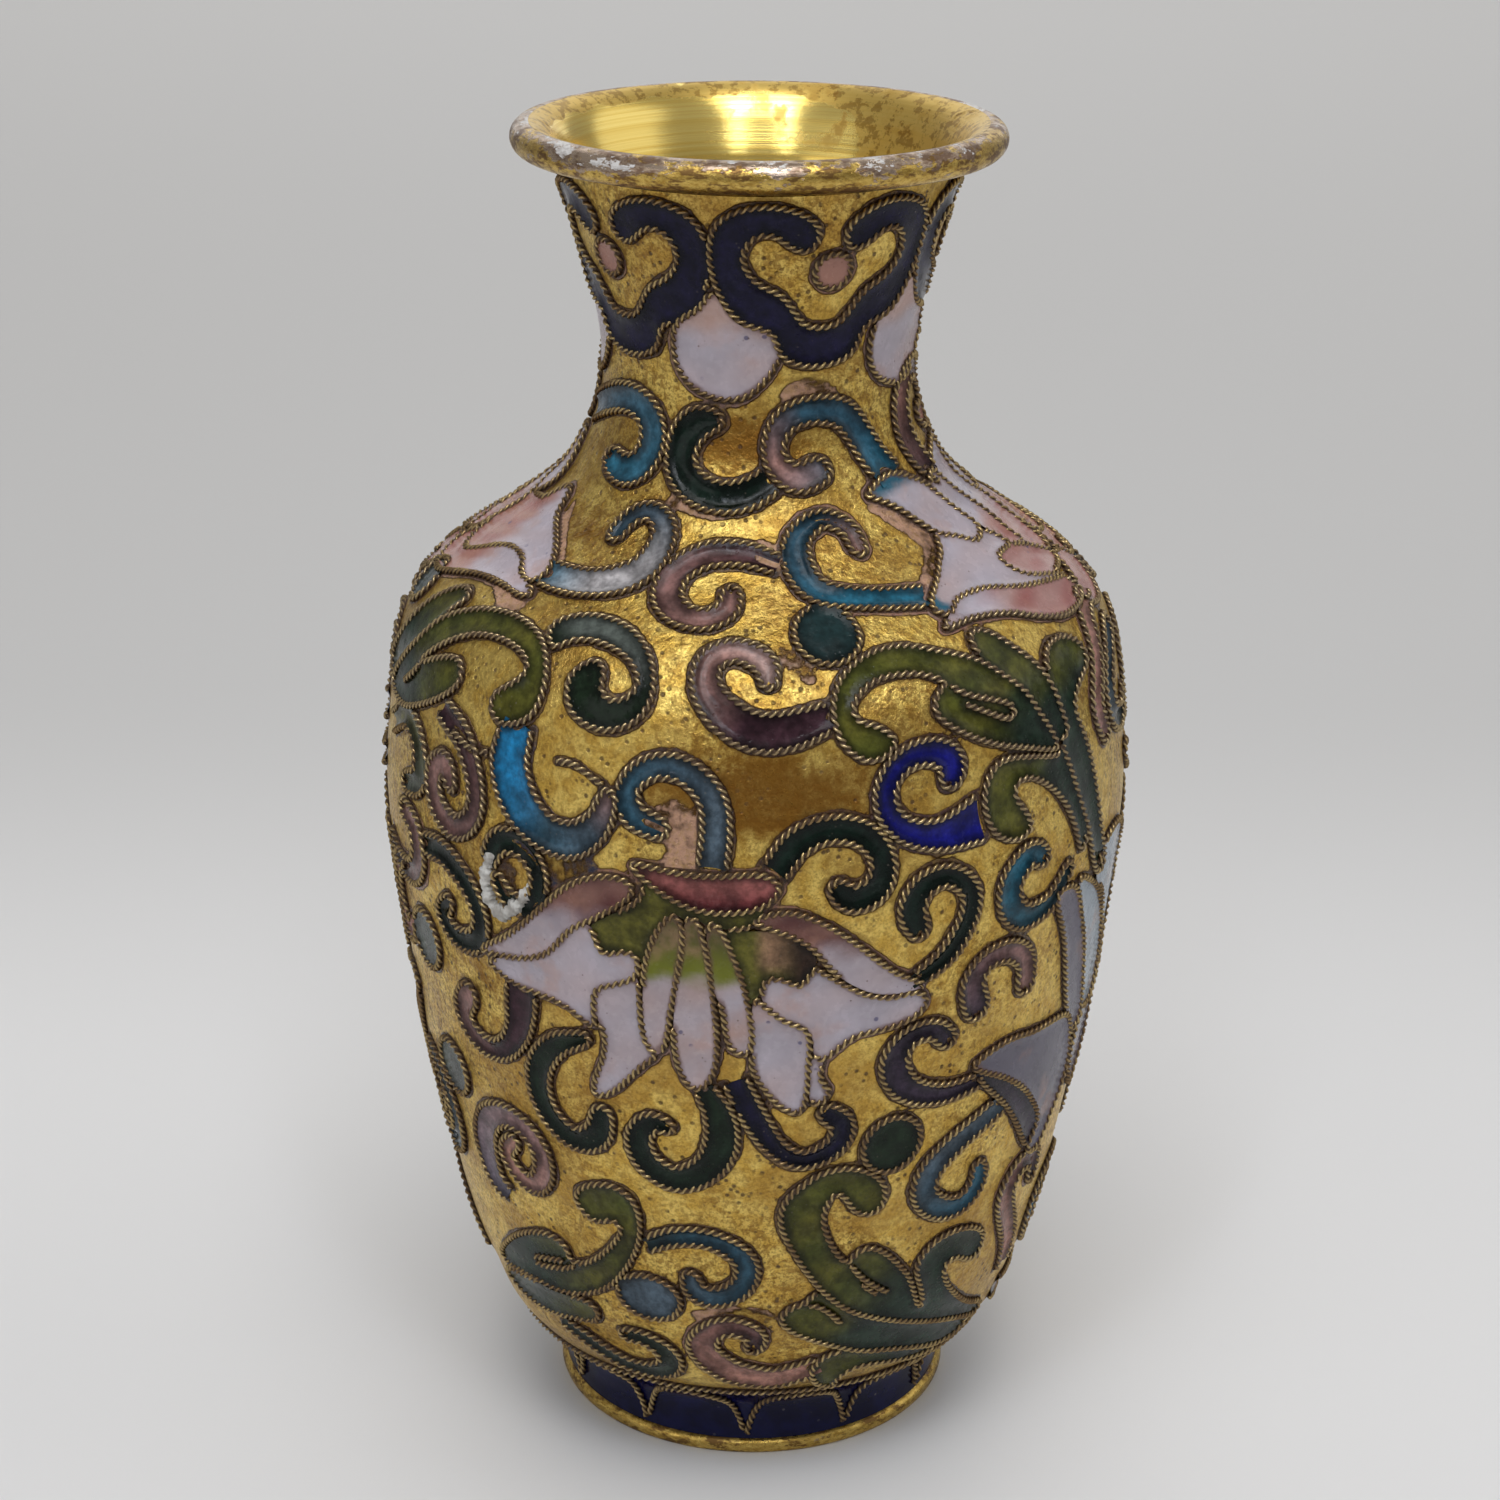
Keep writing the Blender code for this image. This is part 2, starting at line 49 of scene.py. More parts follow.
# ---------------------------------------------------------------- dimensions, in millimetres

OVERALL_HEIGHT = 130.0
BEAD_RING_RADIUS = 21.4
BEAD_RADIUS = 1.45
FOOT_RADIUS = 20.1
WALL = 1.35

# The wire: two strands, whose section is a bulge to each side of a narrow waist. Two paths nearer than
# WIRE_APART share one wire, and what is left of a path needs SHORTEST_WIRE points to be laid. A strip's
# side wire keeps CLEAR_SHARE of the half width from the centreline, so that tight bends make no loops.
STRAND_RADIUS = 0.19
STRAND_BULGE = 2.02
STRAND_WAIST = 0.8
TWIST_PITCH = 1.55
ROPE_LIFT = 0.2
ROPE_STEPS = 9
ROPE_SIDES = 12
ROPE_FIELDS = (("crest", "FLOAT"), ("height", "FLOAT"), ("tone", "FLOAT"))
WIRE_APART = 0.42
SHORTEST_WIRE = 5
PATH_STEP = 0.25
CLEAR_SHARE = 0.93
POINTED_END = 0.2
PALE_ROPE_RUNS = (75, 92)

# The enamel stands LOW off the wall in the middle of a strip or cell, and RISE higher at its wire. In a
# cell it is highest within CELL_WIRE of the outline and slopes down over CELL_SLOPE. In a strip it is
# highest over STRIP_WIRE at each side, and the strip fills STRIP_FILL of the half width.
ENAMEL_FIELDS = (("paint", "FLOAT_COLOR"), ("rim", "FLOAT"))
ENAMEL_STEP = 0.3
NARROWEST_SCROLL = 0.62
STRIP_COLUMNS = 9
TIP_ROWS = 5
CELL_STEP = 0.5
CELL_MARGIN = 0.2
GLAZE_LOW, GLAZE_RISE = 0.03, 0.27
CELL_LOW, CELL_RISE = 0.12, 0.2
CELL_WIRE, CELL_SLOPE = 0.3, 0.9
STRIP_WIRE = 0.35
STRIP_FILL = 0.98

# Outer profile of the gilded ground: (height, radius), from the foot band to the mouth.
PROFILE = [
    (1.5, 19.6), (4.0, 19.8), (6.5, 20.6), (9.0, 23.1), (12.0, 25.8), (16.0, 27.4),
    (20.0, 28.9), (26.0, 30.4), (34.0, 32.0), (42.0, 33.4), (50.0, 34.5), (58.0, 35.4),
    (66.0, 36.1), (73.0, 35.7), (79.0, 35.0), (84.0, 33.6), (88.0, 30.3), (91.0, 26.0),
    (94.0, 21.8), (97.0, 18.4), (100.0, 16.5), (103.0, 15.2), (107.0, 14.5), (112.0, 14.9),
    (117.0, 16.0), (121.0, 17.1), (124.5, 18.2), (126.5, 18.6),
]

# The wire arches on the foot band: where the first one starts, in degrees, the run of their feet, how
# high they rise, their half width as a share of the pitch, and a power that makes their tops full.
FOOT_RING_RUN = 10.3
ARCH_COUNT = 12
ARCH_FOOT = -1.6
ARCH_LOW = 0.6
ARCH_RISE = 7.7
ARCH_HALF = 0.485
ARCH_BLUNT = 0.72

# The ground's bands as (name, CAD node, runs), and the rope meshes' bands as (name, top run). The ground
# rises by FILLET_LIFT under each wire, fading over FILLET_REACH, and pink skirts reach a little further.
GROUND_BANDS = (
    ("belly_ground", "lower_belly_shell", 10.0, 52.0), ("body_ground", "shoulder_shell", 52.0, 90.0),
    ("neck_ground", "neck_shell", 90.0, 137.2),
)
ROPE_BANDS = (("low", 46.0), ("middle", 72.0), ("high", 100.0))
GROUND_COLUMNS = 600
GROUND_STEP = 0.36
FILLET_LIFT = 0.10
FILLET_REACH = 0.55
PINK_SKIRT_EXTRA = 0.1

# The inside: the height where the lip's curve meets the wall, and the runs where the neck's inside gives
# way to the belly's and the belly's to the floor.
INSIDE_TOP_HEIGHT = 124.0
INSIDE_SEAM_RUN = 60.0
INSIDE_FLOOR_RUN = 9.0
# The middle height of the rim bead: above it the worn gilding turns more silver, partly wear and partly a
# painted highlight of the lamps on the bead's top.
RIM_MIDDLE = 0.1286  # in metres, as the shaders read it

# ---------------------------------------------------------------- colours, linear RGB

PAINT = {
    "navy": (0.006, 0.005, 0.022), "royal": (0.006, 0.007, 0.12), "blue": (0.022, 0.060, 0.090),
    "steel": (0.055, 0.080, 0.105), "sky": (0.016, 0.105, 0.165), "cyan": (0.010, 0.145, 0.31),
    "teal": (0.008, 0.020, 0.021), "dark_green": (0.003, 0.009, 0.006),
    "forest": (0.007, 0.015, 0.007), "mint": (0.060, 0.070, 0.062), "grey_green": (0.050, 0.060, 0.052),
    "olive": (0.078, 0.072, 0.012), "leaf": (0.042, 0.048, 0.008), "lime": (0.15, 0.165, 0.008),
    "mauve": (0.27, 0.145, 0.125), "rose": (0.38, 0.19, 0.145), "plum": (0.034, 0.014, 0.020),
    "violet": (0.032, 0.022, 0.038), "lilac": (0.11, 0.10, 0.135), "white": (0.40, 0.36, 0.41),
    "blush": (0.44, 0.305, 0.275), "pink": (0.30, 0.10, 0.09), "crimson": (0.095, 0.015, 0.020),
    "pale_blue": (0.25, 0.30, 0.35), "brown": (0.026, 0.013, 0.008),
    "leaf_shade": (0.010, 0.021, 0.013), "milk": (0.30, 0.285, 0.29),
}
SLOT_OF = {
    colour: slot
    for slot, colours in {
        "enamel_navy": "navy royal", "enamel_blue": "blue steel", "enamel_light_blue": "sky",
        "enamel_cyan": "cyan", "enamel_dark_green": "teal dark_green forest grey_green",
        "enamel_olive": "olive leaf", "enamel_mauve": "mauve rose", "enamel_plum": "plum violet",
        "enamel_white": "lilac white pale_blue", "enamel_pink": "pink", "enamel_crimson": "crimson",
    }.items()
    for colour in colours.split()
}

# ---------------------------------------------------------------- the pattern

# Half of a ruyi head: from the middle of its lower edge, out and up round the curled tip, and back
# along its inner edge to the middle, as (angle, run).
RUYI_HALF = [
    (-3.8, 120.7), (-10.2, 121.2), (-14.3, 122.1), (-15.8, 123.6), (-19.2, 124.4), (-25.0, 124.8),
    (-29.6, 125.8), (-32.9, 127.3), (-35.0, 129.0), (-35.9, 130.9), (-35.5, 132.7),
    (-34.0, 134.2), (-31.0, 135.3), (-26.6, 136.0), (-19.8, 136.4), (-13.0, 136.1),
    (-7.5, 135.3), (-4.2, 134.1), (-4.6, 132.7), (-7.8, 131.9), (-12.4, 132.5), (-16.2, 133.5),
    (-20.4, 133.7), (-23.9, 133.1), (-25.9, 131.8), (-25.6, 130.6), (-23.3, 129.4),
    (-19.4, 128.5), (-14.9, 127.9), (-11.4, 126.8), (-8.5, 125.5), (-4.5, 124.5),
]
RUYI_COUNT = 5
RUYI_PITCH = 72.0
RUYI_FIRST = 21.5
SPOT_SHIFTS = (1.6, -3.0, 1.0, 3.0, -2.5)
SPOT_RADIUS = 1.75
SPOT_RUN = 129.9
DROP_OUTLINE = [
    (-36.1, 127.9), (-40.7, 126.2), (-48.4, 124.8), (-51.2, 123.0), (-50.9, 120.8),
    (-47.3, 119.1), (-41.5, 118.1), (-33.2, 117.6), (-25.1, 118.0), (-18.9, 119.5),
    (-15.5, 120.9), (-14.3, 122.3), (-16.5, 123.8), (-20.8, 124.4), (-27.5, 124.9), (-31.6, 126.1),
]

# Scrolls: name: (colours from start to end, ends, centreline of (angle, run, half width)).
# Ends: o is open, running on under a neighbour's wire, and r is round and closed.
SCROLLS = {
    # round the neck
    "neck_blue_scroll": ("steel sky", "or", [
        (-82.0, 113.6, 1.3), (-72.5, 114.8, 1.3), (-58.5, 116.1, 1.3), (-47.5, 116.2, 1.35),
        (-40.2, 114.9, 1.35), (-38.0, 112.4, 1.35), (-41.8, 110.2, 1.5), (-48.5, 109.8, 1.35),
        (-54.5, 110.4, 1.1)]),
    "neck_green_comma": ("dark_green dark_green", "or", [
        (4.0, 110.3, 1.2), (-2.5, 109.1, 1.35), (-10.8, 108.6, 1.4), (-19.6, 109.4, 1.4),
        (-25.5, 111.3, 1.4), (-25.5, 113.7, 1.5), (-21.0, 115.3, 1.5), (-15.5, 115.6, 1.0)]),
    "neck_double_scroll": ("steel mauve blue blue sky", "ro", [
        (20.0, 111.0, 1.3), (12.7, 110.4, 1.3), (6.4, 111.8, 1.0), (5.7, 114.0, 0.9),
        (10.5, 115.9, 1.1), (20.5, 116.6, 1.2), (31.4, 115.9, 1.3), (37.6, 113.7, 1.35),
        (41.6, 111.5, 1.5), (46.4, 109.3, 1.7)]),
    "neck_side_scroll": ("plum rose", "or", [
        (71.0, 107.6, 0.9), (65.5, 109.3, 1.3), (62.0, 111.5, 1.4), (61.2, 113.8, 1.35),
        (64.0, 116.6, 1.2), (73.5, 118.3, 1.1), (84.0, 117.3, 1.1), (88.5, 114.8, 1.1),
        (84.0, 112.7, 1.1), (78.5, 113.6, 0.9)]),
    # the shoulder
    "shoulder_blue_curl": ("blue steel milk milk sky", "ro", [
        (-38.2, 103.6, 0.9), (-37.2, 105.2, 0.95), (-33.6, 106.4, 0.9), (-28.6, 106.3, 0.95),
        (-24.8, 104.6, 1.1), (-25.4, 101.4, 1.35), (-29.2, 99.3, 1.6), (-36.0, 98.0, 1.5),
        (-43.0, 97.6, 1.45), (-50.3, 97.7, 1.3)]),
    "pink_scroll": ("plum mauve", "or", [
        (5.0, 101.9, 1.0), (-2.7, 103.0, 1.2), (-11.8, 102.8, 1.3), (-17.8, 100.9, 1.3),
        (-18.7, 98.2, 1.3), (-14.8, 96.1, 1.2), (-9.3, 95.7, 1.1), (-5.5, 97.1, 1.0),
        (-5.3, 98.8, 0.8)]),
    "sky_blue_scroll": ("rose blue blue sky sky", "ro", [
        (25.7, 103.0, 0.8), (24.8, 105.3, 0.85), (17.8, 106.5, 0.85), (10.5, 104.6, 1.1),
        (9.8, 101.5, 1.3), (12.5, 99.0, 1.3), (17.9, 98.0, 1.15), (26.0, 97.3, 1.1),
        (35.6, 96.7, 1.2)]),
    "plum_comma": ("plum plum mauve blush", "or", [
        (11.2, 86.3, 1.1), (6.1, 85.3, 1.5), (0.4, 85.0, 1.6), (-4.6, 86.5, 1.5),
        (-7.8, 89.0, 1.25), (-7.4, 91.5, 1.15), (-3.2, 92.5, 1.1), (1.3, 91.3, 1.1),
        (2.0, 89.5, 0.8)]),
    # the belly above the large lotus
    "royal_blue_spiral": ("royal royal", "ro", [
        (29.2, 79.6, 1.15), (29.6, 81.0, 1.3), (26.3, 82.2, 1.15), (21.8, 81.8, 1.0),
        (19.0, 79.8, 0.95), (19.1, 77.3, 1.0), (22.2, 75.3, 1.1), (27.6, 74.5, 1.45),
        (34.0, 75.2, 2.2)]),
    "cyan_comma": ("cyan cyan blue steel mauve", "or", [
        (-37.2, 83.2, 1.6), (-38.2, 79.4, 2.1), (-35.8, 76.0, 2.1), (-31.3, 74.0, 1.7),
        (-26.6, 73.8, 1.6), (-22.7, 75.7, 1.2), (-21.2, 78.3, 0.8)]),
    "steel_blue_crook": ("blue blue steel steel", "ro", [
        (-13.6, 76.1, 1.0), (-17.4, 77.1, 1.15), (-18.2, 79.6, 0.95), (-14.9, 81.5, 1.0),
        (-10.1, 81.5, 1.1), (-6.3, 79.4, 1.15), (-5.4, 76.5, 1.2), (-5.9, 72.8, 1.25)]),
    "dark_green_comma": ("dark_green dark_green", "or", [
        (2.8, 72.6, 1.2), (6.2, 75.3, 1.25), (10.9, 76.3, 1.15), (15.6, 75.5, 1.15),
        (18.2, 73.2, 1.1), (17.4, 70.5, 1.25), (13.8, 69.6, 1.25), (11.8, 70.6, 1.0)]),
    "dark_green_crook": ("dark_green dark_green", "or", [
        (23.3, 60.3, 0.7), (28.8, 62.5, 1.0), (32.0, 65.7, 1.0), (32.2, 68.6, 0.95),
        (28.7, 70.5, 0.95), (24.4, 70.0, 1.15), (22.7, 67.8, 1.25), (24.0, 65.7, 1.0)]),
    "light_blue_hook": ("sky teal", "rr", [
        (46.4, 69.5, 1.0), (43.7, 70.3, 1.15), (40.0, 68.5, 1.35), (40.0, 65.8, 1.35),
        (43.5, 64.0, 1.25), (49.0, 64.5, 1.0), (53.0, 67.0, 0.8)]),
    "left_mauve_spiral": ("plum mauve", "or", [
        (-54.5, 82.0, 1.1), (-48.2, 80.0, 1.15), (-44.9, 76.5, 1.0), (-45.1, 73.25, 1.0),
        (-49.2, 71.4, 1.1), (-54.0, 72.7, 1.2), (-55.4, 75.5, 1.2), (-52.3, 77.1, 1.1),
        (-50.6, 75.3, 0.8)]),
    "left_grey_curl": ("olive grey_green", "or", [
        (-73.0, 76.8, 1.0), (-66.0, 78.9, 1.1), (-60.7, 77.2, 1.2), (-60.0, 73.8, 1.3),
        (-64.8, 72.6, 1.0)]),
    "left_rose_curl": ("mauve plum", "ro", [
        (-65.5, 69.9, 1.0), (-61.2, 68.8, 1.2), (-60.3, 66.0, 1.3), (-63.5, 63.7, 1.2),
        (-70.0, 63.4, 1.1), (-75.0, 65.0, 1.0)]),
    "left_green_scroll": ("dark_green dark_green", "or", [
        (-58.0, 68.0, 1.0), (-52.4, 68.3, 1.2), (-46.8, 66.5, 1.15), (-44.2, 63.5, 1.0),
        (-45.7, 60.7, 1.1), (-50.6, 59.9, 1.1), (-54.2, 61.5, 1.1), (-52.0, 63.3, 0.8)]),
    "chipped_comma": ("dark_green dark_green", "or", [
        (-41.6, 69.6, 0.9), (-39.4, 71.9, 1.15), (-35.2, 72.0, 1.0), (-32.1, 69.9, 0.9),
        (-33.1, 66.9, 0.9), (-37.1, 66.3, 1.0), (-39.7, 68.1, 0.7)]),
    # beside and under the large lotus
    "violet_curl": ("violet mauve", "rr", [
        (35.5, 55.9, 1.4), (34.2, 58.6, 1.25), (36.3, 60.7, 1.05), (41.0, 61.0, 1.05),
        (44.9, 59.2, 1.1), (45.6, 56.5, 1.2)]),
    "violet_scroll": ("violet violet", "ro", [
        (30.6, 53.4, 1.0), (28.1, 54.8, 0.95), (24.0, 54.6, 1.0), (21.7, 52.5, 1.25),
        (22.7, 50.0, 1.35), (26.1, 48.2, 1.2), (31.8, 47.3, 1.0), (38.0, 47.6, 0.8)]),
    "left_mauve_curl": ("plum plum mauve", "or", [
        (-37.0, 57.8, 1.7), (-37.6, 55.2, 1.7), (-38.8, 52.4, 1.4), (-41.8, 50.0, 1.1),
        (-46.0, 49.0, 1.05), (-50.2, 49.8, 1.2), (-51.9, 51.9, 1.35), (-49.8, 54.0, 1.35)]),
    "green_double_comma": ("forest dark_green", "rr", [
        (-26.2, 53.8, 0.7), (-31.2, 52.4, 1.1), (-34.9, 49.6, 1.3), (-35.6, 46.3, 1.3),
        (-33.4, 43.5, 1.25), (-29.2, 42.1, 1.25), (-25.3, 43.4, 1.3), (-24.2, 45.7, 1.1)]),
    "green_tail_comma": ("forest dark_green", "or", [
        (-7.5, 50.4, 0.9), (-5.2, 47.5, 1.3), (-5.0, 44.0, 1.5), (-7.5, 41.1, 1.4),
        (-12.5, 39.7, 1.35), (-17.0, 41.3, 1.3), (-18.2, 44.0, 1.2), (-15.9, 46.0, 1.0),
        (-13.4, 45.6, 0.75)]),
    "navy_hook": ("navy navy", "or", [
        (-2.6, 51.2, 1.1), (0.2, 47.3, 1.15), (3.7, 43.8, 0.95), (8.0, 42.3, 0.95),
        (13.0, 43.6, 1.05), (14.0, 46.0, 1.1), (11.6, 47.4, 1.0)]),
    "left_low_spiral": ("lilac rose", "or", [
        (-48.6, 31.5, 1.2), (-52.0, 33.0, 1.6), (-52.6, 36.6, 1.8), (-50.0, 40.0, 1.5),
        (-45.0, 41.7, 1.2), (-40.0, 41.1, 1.1), (-37.4, 38.9, 1.1), (-38.0, 36.0, 1.1),
        (-41.2, 34.4, 1.05), (-44.6, 35.2, 1.0), (-46.4, 37.2, 0.95), (-44.0, 38.8, 0.9)]),
    "blue_loop": ("steel steel blue sky", "or", [
        (44.3, 43.7, 1.2), (39.0, 42.3, 1.25), (33.5, 40.4, 1.35), (30.2, 37.9, 1.35),
        (30.6, 35.2, 1.25), (34.8, 33.3, 1.25), (39.4, 33.2, 1.2), (42.0, 35.1, 1.1),
        (41.4, 36.9, 0.8)]),
    "blue_scroll": ("teal blue blue steel", "or", [
        (-18.6, 31.2, 0.8), (-12.9, 32.7, 0.95), (-6.8, 32.7, 1.0), (-1.5, 30.6, 1.05),
        (-1.2, 27.7, 1.1), (-4.8, 25.8, 1.15), (-9.5, 25.8, 1.15), (-10.9, 27.8, 0.85)]),
    "mauve_low_scroll": ("rose plum", "or", [
        (14.0, 15.3, 1.1), (9.0, 14.4, 1.3), (3.6, 13.8, 1.5), (-4.5, 15.0, 1.6),
        (-9.5, 17.9, 1.5), (-7.9, 20.8, 1.15), (-3.3, 21.7, 1.1), (0.8, 20.4, 1.0),
        (0.4, 18.5, 0.75)]),
    "green_low_scroll": ("forest grey_green", "ro", [
        (-25.4, 18.2, 0.9), (-22.8, 18.4, 0.95), (-20.0, 17.9, 1.0), (-17.4, 16.6, 1.1),
        (-17.0, 14.7, 1.15), (-20.8, 13.4, 1.1), (-26.4, 13.3, 1.0), (-32.0, 14.3, 0.95),
        (-37.0, 15.4, 0.9), (-43.0, 16.6, 0.75)]),
    # between the front and the back patterns
    "side_low_curl": ("rose plum", "or", [
        (60.0, 20.0, 1.0), (58.0, 24.0, 1.2), (52.0, 30.5, 1.3), (54.5, 33.8, 1.2),
        (60.0, 33.4, 1.1), (61.0, 31.0, 0.9)]),
    "side_blue_curl": ("sky blue", "or", [
        (84.0, 27.0, 1.2), (76.0, 28.4, 1.4), (70.0, 26.0, 1.3), (70.5, 22.0, 1.3),
        (77.0, 20.6, 1.2), (80.0, 23.0, 1.0)]),
    "side_green_comma": ("forest dark_green", "or", [
        (104.0, 32.0, 1.0), (98.0, 35.6, 1.3), (90.0, 36.2, 1.4), (85.5, 33.4, 1.3),
        (89.5, 31.2, 1.0)]),
    "side_mauve_comma": ("plum rose", "or", [
        (66.0, 15.0, 1.2), (74.0, 14.0, 1.4), (84.0, 14.2, 1.5), (91.0, 17.0, 1.4),
        (88.0, 20.0, 1.1), (84.0, 19.0, 0.9)]),
    "side_leaf": ("leaf teal", "ro", [
        (90.0, 28.4, 1.2), (96.0, 26.0, 1.5), (102.0, 22.4, 1.5), (108.0, 18.4, 1.1)]),
    "side_high_hook": ("steel teal", "ro", [
        (78.5, 86.0, 1.1), (74.5, 84.6, 1.2), (70.5, 81.6, 1.2), (72.0, 78.2, 1.2),
        (77.5, 77.2, 1.1), (81.0, 79.4, 0.9)]),
    "side_high_comma": ("royal royal", "or", [
        (98.0, 76.8, 1.3), (90.5, 75.2, 1.3), (86.0, 78.0, 1.2), (86.5, 82.6, 1.2),
        (92.5, 84.8, 1.2), (97.0, 82.4, 0.9)]),
    "side_rose_hook": ("mauve rose", "ro", [
        (66.5, 77.4, 0.9), (64.0, 80.6, 1.1), (66.5, 84.4, 1.1), (71.0, 88.6, 1.1),
        (79.0, 90.4, 1.0)]),
    "side_far_comma": ("mauve rose", "ro", [
        (111.0, 63.8, 0.8), (107.4, 62.4, 1.1), (105.8, 59.4, 1.2), (107.4, 56.6, 1.2),
        (110.6, 55.6, 1.0), (111.8, 57.6, 0.8)]),
    "side_far_spiral": ("teal steel", "or", [
        (106.0, 42.5, 0.9), (111.5, 41.2, 1.2), (115.5, 37.8, 1.3), (114.5, 33.8, 1.3),
        (109.6, 32.6, 1.2), (107.4, 35.4, 1.0), (109.8, 37.0, 0.8)]),
    "side_crest_comma": ("plum mauve", "or", [
        (99.0, 71.8, 0.9), (93.0, 70.6, 1.1), (87.0, 70.6, 1.1), (82.0, 72.4, 1.0)]),
}

# Round and oval cells: name: (colour, angle, run, half width, half height).
OVALS = {
    "shoulder_oval": ("teal", 12.6, 94.1, 3.0, 3.3),
    "belly_oval": ("forest", 22.7, 42.8, 3.0, 3.2),
    "left_oval_upper": ("grey_green", -62.0, 57.0, 3.0, 3.1),
    "left_oval_lower": ("grey_green", -59.5, 43.6, 2.9, 3.0),
    "low_oval": ("steel", -19.2, 24.4, 3.3, 2.9),
    "side_oval": ("teal", 97.5, 90.0, 2.6, 2.6),
}

